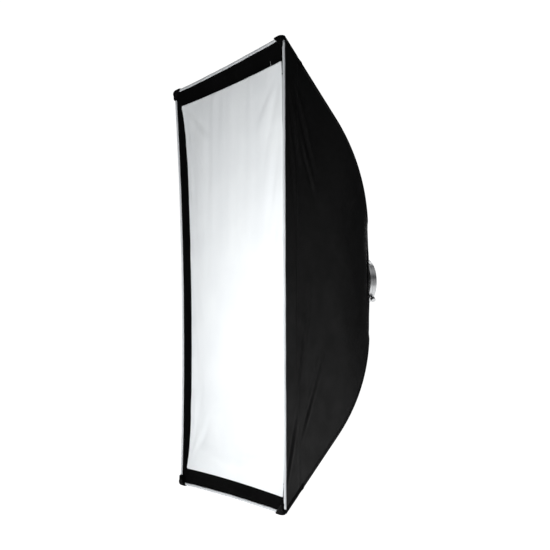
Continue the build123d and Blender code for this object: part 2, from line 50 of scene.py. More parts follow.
# ---------------- sizes read from the frame
BINDING_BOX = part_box("rim_binding_right")
HALF_W = BINDING_BOX[1].x
HALF_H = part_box("rim_binding_top")[1].z
RIM_DEPTH = -BINDING_BOX[0].y
DIFFUSER_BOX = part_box("front_diffuser")
BAND_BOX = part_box("loop_band_top")
SIDE_BAND_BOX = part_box("loop_band_right")
COLLAR_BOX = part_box("rear_collar")
BAFFLE_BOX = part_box("inner_baffle")
STRAPS_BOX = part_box("baffle_straps")

# The ridge over each rod: two straight runs and an arc, as in the CAD source.
FRONT_SLOPE = radians(43.5)
REAR_SLOPE = radians(15.0)
RIDGE_RADIUS = 610 * MM
MOUTH_RADIUS = 65 * MM
MOUTH_DEPTH = 14.5 * MM
COLLAR_MOUTH_R = 50.6 * MM
ROD_INSET = 8 * MM

CORNER_R = hypot(HALF_W, HALF_H)
COS_D = HALF_W / CORNER_R
SIN_D = HALF_H / CORNER_R
COLLAR_DEPTH = -COLLAR_BOX[0].y

CORNERS = {"top_right": (1, 1), "top_left": (-1, 1), "bottom_left": (-1, -1), "bottom_right": (1, -1)}
SIDES = {"right": ("x", 1), "left": ("x", -1), "top": ("z", 1), "bottom": ("z", -1)}
SHARES = {"x": (COS_D, SIN_D), "z": (SIN_D, COS_D)}     # of the ridge's radius: out, and across a panel
HALF_EDGE = {"x": HALF_H, "z": HALF_W}
OUT_INDEX = {"x": 0, "z": 2}
BACKWARD = np.array([0.0, 1.0, 0.0])

# How the cloth has settled on its rods.
TWIST = 4.0 * MM            # the rim's corners stand this far out of one plane
SIDE_BOW = 8.2 * MM         # how far the cloth hangs in between two ridges, at the rim
SIDE_RETREAT = 14.2 * MM    # and how far its edge is drawn back
END_BOW = 2.9 * MM
END_RETREAT = 2.2 * MM
MIDDLE_BOW = 2.5 * MM       # it hangs in this much more halfway back
PANEL_RIPPLE = 0.9 * MM
HEM_LINE = 60 * MM          # a row of stitches runs this far behind the rim on the side panels,
HEM_GROOVE = 0.5 * MM       # sunk into the cloth,
HEM_STEP = 0.3 * MM         # which is double in front of it


def ridge_centre():
    """Centre of the ridge's arc as (radius, y), and the length of the straight run before it."""
    front = (cos(FRONT_SLOPE), -sin(FRONT_SLOPE))
    rear = (cos(REAR_SLOPE), -sin(REAR_SLOPE))
    gap = (CORNER_R - MOUTH_RADIUS, MOUTH_DEPTH - RIM_DEPTH)
    to_knee = (gap[0] * rear[1] - gap[1] * rear[0]) / (front[0] * rear[1] - front[1] * rear[0])
    back = to_knee - RIDGE_RADIUS * tan((FRONT_SLOPE - REAR_SLOPE) / 2)
    start = (CORNER_R - front[0] * back, -RIM_DEPTH - front[1] * back)
    return start[0] - sin(FRONT_SLOPE) * RIDGE_RADIUS, start[1] - cos(FRONT_SLOPE) * RIDGE_RADIUS, back


ARC_R, ARC_Y, FRONT_RUN = ridge_centre()
REAR_TURN = FRONT_SLOPE - np.arccos((-COLLAR_DEPTH - ARC_Y) / RIDGE_RADIUS)
RIDGE_LENGTH = FRONT_RUN + REAR_TURN * RIDGE_RADIUS


def ridge(s, inset=0.0):
    """Radius, depth and slope of the ridge a length s back from the rim, moved in by inset."""
    s = np.asarray(s, float)
    slope = FRONT_SLOPE - np.clip(s - FRONT_RUN, 0, None) / RIDGE_RADIUS
    on_front = s < FRONT_RUN
    radius = np.where(on_front, CORNER_R - s * cos(FRONT_SLOPE), ARC_R + RIDGE_RADIUS * np.sin(slope))
    depth = np.where(on_front, RIM_DEPTH - s * sin(FRONT_SLOPE), -ARC_Y - RIDGE_RADIUS * np.cos(slope))
    return radius - inset * np.sin(slope), depth + inset * np.cos(slope), slope


def twisted(points):
    """Points with the rim's small twist, which dies out towards the speed ring."""
    points = np.array(points, float)
    points[..., 1] += TWIST * points[..., 0] / HALF_W * points[..., 2] / HALF_H
    return points


# ---------------- folds in the shell
# Folds from the upper (1) and lower (-1) corners of a side panel, or on the top (1) and bottom (-1)
# panel. Each has its angle from the rim in degrees, its start, length, width and depth in millimetres,
# and for some how far it lies beside the corner.
SIDE_FOLDS = {
    1: (
        (39, 70, 240, 8, 1.7, -2), (43, 150, 300, 7, 1.3, -45),
        (20, 80, 250, 8, 1.7, -9), (9, 100, 380, 8, 1.0),
    ),
    -1: (
        (25, 30, 190, 5, 1.7, -14), (45, 105, 290, 5, 1.5, -14),
        (12, 190, 480, 7, 1.1, 21), (35, 150, 300, 9, 1.0),
    ),
}
END_FOLDS = {
    1: ((14, 50, 190, 9, 1.8), (30, 60, 240, 11, 1.8), (47, 70, 180, 9, 1.2)),
    -1: ((12, 50, 200, 9, 1.6), (26, 60, 220, 11, 2.0), (44, 60, 180, 9, 1.2)),
}


def smoothstep(low, high, value):
    """Smooth step from 0 at low to 1 at high."""
    share = np.clip((value - low) / (high - low), 0, 1)
    return share * share * (3 - 2 * share)


def fold(back, along, angle, start, length, width, depth, shift=0):
    """Height of one fold at a distance back from the rim and along it from the corner, in metres."""
    angle = radians(angle)
    start, length, width, depth = start * MM, length * MM, width * MM, depth * MM
    run = back * sin(angle) + along * cos(angle)
    off = back * cos(angle) - along * sin(angle) - shift * MM + 4 * MM * np.sin(run * 11)
    width = width * (0.5 + 0.9 * np.clip(run / length, 0, 1.5))
    envelope = smoothstep(start, start + 50 * MM, run) * (1 - smoothstep(0.5 * length, length, run))
    valley = -np.exp(-((off / width) ** 2))
    shoulder = 0.75 * np.exp(-(((off - 1.9 * width) / (1.3 * width)) ** 2))
    return depth * envelope * (valley + shoulder)


def ripple(u, v, phase):
    """Soft, uneven swell from -1 to 1 over two coordinates in metres."""
    return (
        np.sin(23 * u + 9 * v + phase) + np.sin(-14 * u + 31 * v + 2.1 * phase)
        + 0.7 * np.sin(41 * u + 37 * v + 3.3 * phase) + 0.5 * np.sin(67 * u - 53 * v + 4.7 * phase)
    ) / 3.2


def xyz(x, y, z):
    """Points from their coordinates, spread to one shape."""
    return np.stack(np.broadcast_arrays(x, y, z), -1)


def panel_point(side, s, t, lift=0.0):
    """Points of a panel: s metres back from the rim, t from -1 to 1 between its ridges."""
    axis, sign = SIDES[side]
    on_side = axis == "x"
    share, across_share = SHARES[axis]
    bow, retreat = (SIDE_BOW, SIDE_RETREAT) if on_side else (END_BOW, END_RETREAT)
    s, t = np.broadcast_arrays(np.asarray(s, float), np.asarray(t, float))
    middle = 1 - t**2
    forward = 1 - np.clip(s / RIDGE_LENGTH, 0, 1)
    radius, depth, slope = ridge(s + retreat * middle * forward**3)
    half = across_share * radius
    across = t * across_share * radius
    hollow = (bow * (0.25 + 0.75 * forward) + MIDDLE_BOW * np.sin(pi * forward)) * middle
    waves = ripple(s, across, 1.7 * sign + (0.4 if on_side else 2.9))
    relief = PANEL_RIPPLE * waves * middle * (1 - forward**6)
    for end in (1, -1):
        for one in SIDE_FOLDS[end] if on_side else END_FOLDS[sign]:
            relief = relief + fold(s, half - end * across, *one)
    if on_side:
        doubled = smoothstep(HEM_LINE + 1 * MM, HEM_LINE - 3 * MM, s)
        groove = np.exp(-(((s - HEM_LINE) / (4 * MM)) ** 2))
        relief = relief + HEM_STEP * doubled - HEM_GROOVE * groove
    height = lift - (hollow - relief)
    normal_out = np.sin(slope)
    normal_back = share * np.cos(slope)
    norm = np.sqrt(normal_out**2 + normal_back**2)
    out = sign * (share * radius + height * normal_out / norm)
    y = -depth + height * normal_back / norm
    return twisted(xyz(out, y, across) if on_side else xyz(across, y, out))


# ---------------- mesh helpers
def grid_faces(rows, columns, close_rows=False, close_columns=False, start=0):
    """Quads over a grid of points, stored row by row."""
    row, column = np.meshgrid(
        np.arange(rows if close_rows else rows - 1),
        np.arange(columns if close_columns else columns - 1), indexing="ij",
    )
    next_row, next_column = (row + 1) % rows, (column + 1) % columns
    quads = [row * columns + column, row * columns + next_column,
             next_row * columns + next_column, next_row * columns + column]
    return (np.stack(quads, -1).reshape(-1, 4) + start).tolist()


def grid_normals(points):
    """Unit normals of a grid of points."""
    normal = np.cross(np.gradient(points, axis=0), np.gradient(points, axis=1))
    return normal / np.maximum(np.linalg.norm(normal, axis=-1, keepdims=True), 1e-12)


def slab(front, back, closed=False):
    """Slab between two grids of points, whose rows may be closed rings: a shape.

    A shape is vertices and faces and, as here, may have 0 or 1 for front or back faces."""
    rows, columns = front.shape[:2]
    count = rows * columns
    faces = grid_faces(rows, columns, close_columns=closed)
    kinds = [0] * len(faces) + [1] * len(faces)
    faces += grid_faces(rows, columns, close_columns=closed, start=count)
    first, last = list(range(columns)), list(range(count - columns, count))
    borders = [first, last]
    if not closed:
        right = [row * columns + columns - 1 for row in range(1, rows - 1)]
        left = [row * columns for row in range(rows - 2, 0, -1)]
        borders = [first + right + last[::-1] + left]
    for border in borders:
        faces += [[a, b, b + count, a + count] for a, b in zip(border, border[1:] + border[:1])]
        kinds += [0] * len(border)
    return np.concatenate([front.reshape(-1, 3), back.reshape(-1, 3)]), faces, kinds


def new_object(name, data):
    """New object in the scene."""
    made = bpy.data.objects.new(name, data)
    bpy.context.scene.collection.objects.link(made)
    return made


def mesh_piece(name, shape, materials, body):
    """Closed mesh with its faces turned out, riding on a body. A second material is for back faces."""
    vertices, faces, *kinds = shape
    mesh = bpy.data.meshes.new(name)
    mesh.from_pydata(np.asarray(vertices, float).reshape(-1, 3).tolist(), [], faces)
    for one in materials:
        mesh.materials.append(one)
    if len(materials) > 1:
        mesh.polygons.foreach_set("material_index", kinds[0])
    work = bmesh.new()
    work.from_mesh(mesh)
    bmesh.ops.recalc_face_normals(work, faces=work.faces[:])
    work.to_mesh(mesh)
    work.free()
    mesh.polygons.foreach_set("use_smooth", [True] * len(mesh.polygons))
    piece = new_object(name, mesh)
    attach(piece, body)
    return piece


def sheet_piece(name, points, thickness, materials, body, inward):
    """Sheet of cloth from a grid of its outer points and the way to its inside."""
    normal = grid_normals(points)
    if np.sum(normal * inward) < 0:
        normal = -normal
    return mesh_piece(name, slab(points, points + normal * thickness), materials, body)


def subdivided(piece, levels):
    """The piece rounded by subdivision."""
    modifier = piece.modifiers.new("round", "SUBSURF")
    modifier.levels = modifier.render_levels = levels


def tube_mesh(sections):
    """Vertices and faces of a tube through closed sections, with both ends filled."""
    rows, columns = sections.shape[:2]
    faces = grid_faces(rows, columns, close_columns=True)
    faces += [list(range(columns)), [(rows - 1) * columns + c for c in range(columns)]]
    return sections.reshape(-1, 3), faces


def joined(shapes):
    """One shape from several."""
    vertices, faces, start = [], [], 0
    for part_vertices, part_faces, *_ in shapes:
        part_vertices = np.asarray(part_vertices).reshape(-1, 3)
        vertices.append(part_vertices)
        faces += [[index + start for index in face] for face in part_faces]
        start += len(part_vertices)
    return np.concatenate(vertices), faces


def resampled(points, step):
    """Points at even steps along a path, and the tangents there."""
    points = np.asarray(points, float)
    lengths = np.concatenate([[0], np.cumsum(np.linalg.norm(np.diff(points, axis=0), axis=1))])
    places = np.arange(step / 2, lengths[-1], step)
    even = np.stack([np.interp(places, lengths, points[:, k]) for k in range(3)], -1)
    ahead = np.stack([np.interp(places + 1e-4, lengths, points[:, k]) for k in range(3)], -1)
    tangents = ahead - even
    length = np.maximum(np.linalg.norm(tangents, axis=1, keepdims=True), 1e-12)
    return even, tangents / length


STITCH_RING = [(cos(a), sin(a)) for a in np.linspace(0, 2 * pi, 6, endpoint=False)]
STITCH_FORM = ((-0.5, 0.35), (-0.3, 0.9), (0.0, 1.0), (0.3, 0.9), (0.5, 0.35))  # place along it, girth
STITCH_SINK = 0.75          # of its radius lies in the cloth at the ends


def stitch_mesh(path, normal, pitch=4.2 * MM, length=2.9 * MM, radius=0.32 * MM):
    """Row of stitches, each a short bead of thread lying on the cloth."""
    parts = []
    for place, tangent in zip(*resampled(path, pitch)):
        side = np.cross(tangent, np.asarray(normal, float))
        side /= max(np.linalg.norm(side), 1e-9)
        up = np.cross(side, tangent)
        sections = []
        for share, size in STITCH_FORM:
            centre = place + tangent * length * share + up * radius * (size - STITCH_SINK)
            sections.append([centre + radius * size * (side * c + up * s) for c, s in STITCH_RING])
        parts.append(tube_mesh(np.array(sections)))
    return joined(parts)


# ---------------- materials
def shader(name, base, roughness, metallic=0.0, specular=0.5, sheen=0.0):
    """New material, with its node tree, its shader's inputs and its object coordinates."""
    material = bpy.data.materials.new(name)
    material.use_nodes = True
    tree = material.node_tree
    inputs = tree.nodes["Principled BSDF"].inputs
    inputs["Base Color"].default_value = (*base, 1)
    inputs["Roughness"].default_value = roughness
    inputs["Metallic"].default_value = metallic
    inputs["Specular IOR Level"].default_value = specular
    inputs["Sheen Weight"].default_value = sheen
    inputs["Sheen Roughness"].default_value = 0.5
    return material, tree, inputs, tree.nodes.new("ShaderNodeTexCoord").outputs["Object"]


def noise_node(tree, vector, scale, detail=2):
    """Noise over a vector."""
    texture = tree.nodes.new("ShaderNodeTexNoise")
    texture.inputs["Scale"].default_value = scale
    texture.inputs["Detail"].default_value = detail
    tree.links.new(vector, texture.inputs["Vector"])
    return texture.outputs["Fac"]


def ramp_node(tree, value, places, colors, target):
    """Ramp between two colours over a value, linked to an input of the shader."""
    ramp = tree.nodes.new("ShaderNodeValToRGB")
    for element, place, color in zip(ramp.color_ramp.elements, places, colors):
        element.position = place
        element.color = (*color, 1)
    tree.links.new(value, ramp.inputs["Fac"])
    tree.links.new(ramp.outputs["Color"], target)


def math_node(tree, operation, *values):
    """Sum, product or function of sockets and numbers."""
    node = tree.nodes.new("ShaderNodeMath")
    node.operation = operation
    for socket, value in zip(node.inputs, values):
        if isinstance(value, float):
            socket.default_value = value
        else:
            tree.links.new(value, socket)
    return node.outputs["Value"]


def split_node(tree, vector):
    """The three coordinates of a vector."""
    split = tree.nodes.new("ShaderNodeSeparateXYZ")
    tree.links.new(vector, split.inputs["Vector"])
    return split.outputs


def threads(tree, vector, directions, period):
    """Woven threads as crossed waves along some of the object's axes."""
    coordinates = split_node(tree, vector)
    waves = []
    for weights in directions:
        total = None
        for axis, weight in zip("XYZ", weights):
            if not weight:
                continue
            term = math_node(tree, "MULTIPLY", coordinates[axis], 2 * pi * weight / period)
            total = term if total is None else math_node(tree, "ADD", total, term)
        waves.append(math_node(tree, "SINE", total))
    return math_node(tree, "MULTIPLY", *waves) if len(waves) == 2 else waves[0]


def bump_chain(tree, inputs, *layers):
    """Bump from (height, strength, distance) layers, coarse to fine."""
    previous = None
    for height, strength, distance in layers:
        bump = tree.nodes.new("ShaderNodeBump")
        bump.inputs["Strength"].default_value = strength
        bump.inputs["Distance"].default_value = distance
        tree.links.new(height, bump.inputs["Height"])
        if previous is not None:
            tree.links.new(previous, bump.inputs["Normal"])
        previous = bump.outputs["Normal"]
    tree.links.new(previous, inputs["Normal"])


def darker(color, share):
    """The colour at a share of its brightness."""
    return tuple(share * part for part in color)


def cloth(name, dark, light, roughness, sheen, period, directions, weave=0.4, crinkle=0.25, specular=0.3):
    """Woven cloth: threads, a soft crinkle, and a little unevenness of colour and gloss."""
    material, tree, inputs, vector = shader(name, light, roughness, 0, specular, sheen)
    patches = noise_node(tree, vector, 9, 4)
    ramp_node(tree, patches, (0.35, 0.7), (dark, light), inputs["Base Color"])
    low, high = max(roughness - 0.08, 0.05), min(roughness + 0.08, 1)
    gloss = noise_node(tree, vector, 30, 3)
    ramp_node(tree, gloss, (0.3, 0.7), ((low,) * 3, (high,) * 3), inputs["Roughness"])
    fine = noise_node(tree, vector, 90, 3)
    weave_height = threads(tree, vector, directions, period)
    bump_chain(tree, inputs, (fine, crinkle, 0.6 * MM), (weave_height, weave, 0.08 * MM))
    return material


def lathe_turned(name, base, roughness):
    """Turned aluminium: fine rings about the Y axis and a faint cloudiness."""
    material, tree, inputs, vector = shader(name, base, roughness, 1.0)
    coordinates = split_node(tree, vector)
    squares = [math_node(tree, "MULTIPLY", coordinates[axis], coordinates[axis]) for axis in "XZ"]
    radius = math_node(tree, "SQRT", math_node(tree, "ADD", *squares))
    combine = tree.nodes.new("ShaderNodeCombineXYZ")
    tree.links.new(radius, combine.inputs["X"])
    tree.links.new(coordinates["Y"], combine.inputs["Y"])
    rings = noise_node(tree, combine.outputs["Vector"], 2600)
    cloud = noise_node(tree, vector, 60, 3)
    ramp_node(tree, cloud, (0.3, 0.75), (darker(base, 0.86), base), inputs["Base Color"])
    spread = (roughness - 0.08,) * 3, (roughness + 0.1,) * 3
    ramp_node(tree, rings, (0.3, 0.7), spread, inputs["Roughness"])
    bump_chain(tree, inputs, (rings, 0.25, 0.05 * MM))
    return material


def plain_metal(name, base, roughness, grain, stretch=(1, 1, 1)):
    """Cast, drawn or plated metal: grain stretched along an axis."""
    material, tree, inputs, vector = shader(name, base, roughness, 1.0)
    mapping = tree.nodes.new("ShaderNodeMapping")
    mapping.inputs["Scale"].default_value = stretch
    tree.links.new(vector, mapping.inputs["Vector"])
    speck = noise_node(tree, mapping.outputs["Vector"], grain, 4)
    ramp_node(tree, speck, (0.3, 0.7), (darker(base, 0.75), base), inputs["Base Color"])
    spread = (roughness - 0.08,) * 3, (roughness + 0.12,) * 3
    ramp_node(tree, speck, (0.3, 0.7), spread, inputs["Roughness"])
    bump_chain(tree, inputs, (speck, 0.3, 0.08 * MM))
    return material


def moulded(name, base, roughness):
    """Moulded plastic with a fine spark-eroded skin."""
    material, tree, inputs, vector = shader(name, base, roughness)
    shade = noise_node(tree, vector, 40)
    ramp_node(tree, shade, (0.3, 0.7), (darker(base, 0.8), base), inputs["Base Color"])
    bump_chain(tree, inputs, (noise_node(tree, vector, 1800), 0.35, 0.04 * MM))
    return material


# Directions in which a cloth's threads are crossed, for the panel that it lies on.
WEAVE_SIDE = ((0, 0, 1), (1, 1, 0))
WEAVE_FRONT = ((1, 0, 0), (0, 0, 1))
WEAVE_END = ((1, 0, 0), (0, 1, 1))
WEAVE_SLANTED = ((1, 1, 1), (1, -1, -1))
RIBBED = ((1, 1, 1),)
RIBBED_FRONT = ((1, 0, 1),)


def nylon(name, weave):
    """Thin black nylon."""
    dark, light = (0.0018, 0.0018, 0.002), (0.0028, 0.0028, 0.0031)
    return cloth(name, dark, light, 0.45, 0.0, 0.7 * MM, weave, specular=0.12)


def sewing_thread(name, dark, light, roughness):
    """Twisted sewing thread."""
    return cloth(name, dark, light, roughness, 0.1, 0.4 * MM, RIBBED, 0.6, 0.1)


NYLON = nylon("black_nylon", WEAVE_SIDE)
NYLON_END = nylon("black_nylon_ends", WEAVE_END)
WEBBING = cloth(
    "black_webbing", (0.0012, 0.0012, 0.0013), (0.0021, 0.0021, 0.0022),
    0.72, 0.0, 1.3 * MM, WEAVE_SLANTED, 0.8, 0.3, 0.05,
)
LOOP = cloth(
    "black_loop", (0.0014, 0.0014, 0.0015), (0.0026, 0.0026, 0.0028),
    0.95, 0.0, 0.9 * MM, WEAVE_FRONT, 0.9, 0.8, 0.03,
)
BINDING = cloth(
    "grey_binding", (0.58, 0.60, 0.62), (0.70, 0.72, 0.74), 0.8, 0.15, 1.1 * MM, RIBBED, 0.7, 0.2, 0.25,
)
WHITE = cloth(
    "white_diffusion", (0.835, 0.865, 0.885), (0.875, 0.905, 0.92),
    0.85, 0.1, 0.6 * MM, WEAVE_FRONT, 0.3, 0.12, 0.2,
)
WHITE_HOOK = cloth("white_hook", (0.74,) * 3, (0.86,) * 3, 0.9, 0.2, 1.2 * MM, WEAVE_FRONT, 1.0, 0.6, 0.2)
ELASTIC = cloth(
    "white_elastic", (0.72, 0.72, 0.71), (0.84, 0.84, 0.83),
    0.8, 0.15, 1.0 * MM, RIBBED_FRONT, 0.9, 0.2, 0.25,
)
SILVER = cloth(
    "silver_lining", (0.62, 0.63, 0.64), (0.78, 0.79, 0.80), 0.38, 0.0, 0.8 * MM, WEAVE_SIDE, 0.35, 0.6, 0.5,
)
SILVER.node_tree.nodes["Principled BSDF"].inputs["Metallic"].default_value = 0.75
THREAD = sewing_thread("black_thread", (0.004,) * 3, (0.012,) * 3, 0.55)
WHITE_THREAD = sewing_thread("white_thread", (0.84, 0.85, 0.86), (0.90, 0.91, 0.915), 0.7)
PALE_THREAD = sewing_thread("pale_thread", (0.62, 0.64, 0.66), (0.74, 0.76, 0.78), 0.6)
ALUMINIUM = lathe_turned("turned_aluminium", (0.66, 0.67, 0.68), 0.3)
CAST = plain_metal("cast_aluminium", (0.55, 0.55, 0.57), 0.42, 500)
STEEL = plain_metal("spring_steel", (0.42, 0.42, 0.43), 0.3, 300, (1, 0.2, 1))
ZINC = plain_metal("zinc_plate", (0.62, 0.63, 0.66), 0.28, 700)
PLASTIC = moulded("black_plastic", (0.02, 0.02, 0.021), 0.45)
NATURAL_NYLON = moulded("natural_nylon", (0.78, 0.76, 0.70), 0.5)

NODE_FINISH = {
    "bayonet_ring": ALUMINIUM, "retaining_ring": ALUMINIUM, "speedring": ALUMINIUM, "lock_knob": ALUMINIUM,
    "retaining_screws": ZINC, "socket_screws": ZINC, "lock_stud": ZINC,
    "wear_washer": NATURAL_NYLON, "lock_pad": NATURAL_NYLON,
}
for corner in CORNERS:
    NODE_FINISH[f"rod_socket_{corner}"] = CAST
    NODE_FINISH[f"rod_{corner}"] = STEEL
    NODE_FINISH[f"rod_tip_{corner}"] = PLASTIC
for node, finish in NODE_FINISH.items():
    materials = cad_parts[node].data.materials
    materials.clear()
    materials.append(finish)

# ---------------- shell panels
PANEL_THICKNESS = 0.8 * MM
PANEL_ROWS = 150
PANEL_COLUMNS = 230
RIM_LAP = 3 * MM            # the panels end this far behind the rim, inside the binding
HEM_STITCH = (3.6 * MM, 2.4 * MM, 0.2 * MM)     # pitch, length and radius
HEM_REACH = 0.97            # of the way to the ridges


def inward_way(side):
    """Unit vector from a panel to the inside."""
    axis, sign = SIDES[side]
    return np.array([-sign, 0, 0] if axis == "x" else [0, 0, -sign], float)


for side, (axis, sign) in SIDES.items():
    s = np.linspace(RIM_LAP, RIDGE_LENGTH, PANEL_ROWS)[:, None]
    t = np.linspace(-1, 1, PANEL_COLUMNS)[None, :]
    finish = [NYLON if axis == "x" else NYLON_END, SILVER]
    panel = sheet_piece(
        f"panel_{side}", panel_point(side, s, t), PANEL_THICKNESS, finish, "softbox",
        inward_way(side),
    )
    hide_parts(f"shell_panel_{side}")

for side in ("right", "left"):
    path = panel_point(side, HEM_LINE, np.linspace(-HEM_REACH, HEM_REACH, 260), 0.12 * MM)
    stitches = stitch_mesh(path, (SIDES[side][1], 0.6, 0), *HEM_STITCH)
    mesh_piece(f"hem_stitches_{side}", stitches, [THREAD], "softbox")

# ---------------- ridge seams
SEAM_WIDTH = 7 * MM         # to each side of the ridge
SEAM_LIFT = 0.35 * MM
SEAM_CROWN = 0.4 * MM       # its middle stands this much higher over the ridge
SEAM_THICKNESS = 0.6 * MM
SEAM_STITCH_INSET = 1.6 * MM
POCKET_LENGTH = 76 * MM
RIDGE_BLEND = 2.2 * MM      # to each side of a ridge its two panels run into each other


def along_ridge(corner, s, offset, lift):
    """Points beside a ridge: offset runs onto the side panel if positive, onto the end panel if not."""
    side_x, side_z = CORNERS[corner]
    s, offset = np.broadcast_arrays(np.asarray(s, float), np.asarray(offset, float))
    radius = ridge(s)[0]
    t_side = side_z * (1 - np.abs(offset) / (SIN_D * radius))
    t_end = side_x * (1 - np.abs(offset) / (COS_D * radius))
    on_side = panel_point("right" if side_x > 0 else "left", s, t_side, lift)
    on_end = panel_point("top" if side_z > 0 else "bottom", s, t_end, lift)
    share = smoothstep(-RIDGE_BLEND, RIDGE_BLEND, offset)[..., None]
    return on_side * share + on_end * (1 - share)


for corner, (side_x, side_z) in CORNERS.items():
    s = np.linspace(POCKET_LENGTH - 6 * MM, RIDGE_LENGTH - 1 * MM, 110)[:, None]
    edge = np.linspace(-SEAM_WIDTH, SEAM_WIDTH, 15)[None, :]
    crown = SEAM_LIFT + SEAM_CROWN * np.exp(-((edge / (2.5 * MM)) ** 2))
    seam = sheet_piece(
        f"ridge_tape_{corner}", along_ridge(corner, s, edge, crown), SEAM_THICKNESS, [NYLON],
        "softbox", np.array([-side_x, 0, -side_z], float),
    )
    rows = []
    for sign in (-1, 1):
        s = np.linspace(POCKET_LENGTH + 4 * MM, RIDGE_LENGTH - 4 * MM, 90)
        path = along_ridge(corner, s, sign * (SEAM_WIDTH - SEAM_STITCH_INSET), SEAM_LIFT + 0.25 * MM)
        rows.append(stitch_mesh(path, (side_x, 0.4, side_z)))
    mesh_piece(f"ridge_stitches_{corner}", joined(rows), [THREAD], "softbox")

# ---------------- corner pockets
POCKET_START = 5 * MM       # the patch begins this far behind the rim
POCKET_WIDTH = 31 * MM      # on the end panel, at the rim
POCKET_END = 17 * MM        # and at its rear end
POCKET_SIDE = 8.5 * MM      # on the side panel
POCKET_THICKNESS = 0.9 * MM
POCKET_STITCH = (3.4 * MM, 2.3 * MM, 0.28 * MM)     # pitch, length and radius
CAP_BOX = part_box("corner_pocket_top_right")
CAP_PROUD = CAP_BOX[1].x - HALF_W
CAP_X, CAP_Z = 38 * MM, 24 * MM
CAP_WRAP = 10 * MM
CAP_ROUND = 1.2 * MM        # the cap's rounded sides stay this far inside its box
CAP_BACK = RIM_DEPTH - 6.0 * MM
CAP_FRONT = -CAP_BOX[0].y
# Rings of the cap from its back to its middle: how far in, and how far from back to front.
CAP_RINGS = (
    (0.16, -0.02), (0.07, 0.10), (0.015, 0.34), (0.0, 0.55), (0.035, 0.74), (0.11, 0.90),
    (0.2, 0.96), (0.28, 0.93), (0.36, 0.965), (0.6, 1.0), (0.82, 1.0),
)
CAP_STITCHES = (0.28, 0.935)    # the same for its stitches


def pocket_reach(s):
    """How far the patch runs from the ridge onto the end panel."""
    return POCKET_WIDTH + (POCKET_END - POCKET_WIDTH) * smoothstep(0.25, 1, s / POCKET_LENGTH)


def pocket_patch(corner):
    """Reinforcing patch folded over the ridge, narrower at its rear end."""
    s = np.linspace(POCKET_START, POCKET_LENGTH, 40)[:, None]
    share = np.linspace(-1, 1, 41)[None, :]
    offset = share * np.where(share > 0, POCKET_SIDE, pocket_reach(s))
    hem = 0.3 * MM * smoothstep(0.80, 0.88, np.abs(share))
    hem = hem + 0.8 * MM * smoothstep(0.88, 0.94, s / POCKET_LENGTH)
    swell = 0.3 * MM * np.exp(-((offset / (9 * MM)) ** 2))
    pucker = 0.125 * MM * np.sin(s * 520 + share * 3) * smoothstep(0.5, 0.9, np.abs(share))
    return along_ridge(corner, s, offset, 0.45 * MM + hem + swell + pucker)


def cap_outline(count):
    """Outline of the cap over the rim's corner: a triangle that wraps a little round the outside."""
    proud = CAP_PROUD - CAP_ROUND
    # Each key point has the size of its rounding in millimetres. The one at the corner is a wide bend.
    key = [
        (-CAP_X, proud - 0.6 * MM, 1.5), (proud, proud, 22), (proud - 0.6 * MM, -CAP_WRAP, 2.5),
        (-3 * MM, -CAP_WRAP - 2 * MM, 2), (-4 * MM, -CAP_Z, 3), (-CAP_X - 1 * MM, -1 * MM, 1.5),
    ]
    points = []
    for index, (x, z, size) in enumerate(key):
        here = Vector((x, z))
        ends = []
        for other, bend_share in ((key[index - 1], 0.95), (key[(index + 1) % len(key)], 0.8)):
            way = Vector(other[:2]) - here
            longest = way.length * (0.48 if size < 10 else bend_share)
            ends.append(here + way.normalized() * min(size * MM, longest))
        for step in range(count):
            u = step / (count - 1)
            point = (1 - u) ** 2 * ends[0] + 2 * u * (1 - u) * here + u**2 * ends[1]
            points.append((point.x, point.y))
    return np.array(points)


def cap_ring(corner, inset, share):
    """Ring of a cap: its outline drawn in by a share and placed between its back and its front."""
    side_x, side_z = CORNERS[corner]
    outline = cap_outline(7)
    middle = outline.mean(axis=0)
    ring = middle + (outline - middle) * (1 - inset)
    depth = CAP_BACK + (CAP_FRONT - CAP_BACK) * share
    return twisted(xyz(side_x * (HALF_W + ring[:, 0]), -depth, side_z * (HALF_H + ring[:, 1])))


for corner, (side_x, side_z) in CORNERS.items():
    patch = sheet_piece(
        f"pocket_patch_{corner}", pocket_patch(corner), POCKET_THICKNESS, [WEBBING],
        "softbox", np.array([-side_x, 0, -side_z], float),
    )
    rings = tube_mesh(np.array([cap_ring(corner, *one) for one in CAP_RINGS]))
    cap = mesh_piece(f"pocket_cap_{corner}", rings, [WEBBING], "softbox")
    subdivided(cap, 2)
    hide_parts(f"corner_pocket_{corner}")
    seam = cap_ring(corner, *CAP_STITCHES)
    rows = [stitch_mesh(np.concatenate([seam, seam[:1]]), -BACKWARD, *POCKET_STITCH)]
    s = np.linspace(8 * MM, POCKET_LENGTH - 3 * MM, 40)
    for inset in (2.4 * MM, 5.2 * MM):
        for offset in (inset - pocket_reach(s), POCKET_SIDE - inset):
            path = along_ridge(corner, s, offset, POCKET_THICKNESS)
            rows.append(stitch_mesh(path, (side_x, 0.4, side_z), *POCKET_STITCH))
    mesh_piece(f"pocket_stitches_{corner}", joined(rows), [THREAD], "softbox")

# ---------------- rim binding
BINDING_WIDTH = 5.6 * MM
BINDING_THICKNESS = 0.95 * (BINDING_BOX[1].y - BINDING_BOX[0].y)
BINDING_ROUND = 1.4 * MM
BINDING_STITCH = (4.0 * MM, 2.7 * MM, 0.2 * MM)     # pitch, length and radius
BINDING_SHORT = {"x": 11 * MM, "z": 22 * MM}        # it ends this far from the corners, under the caps


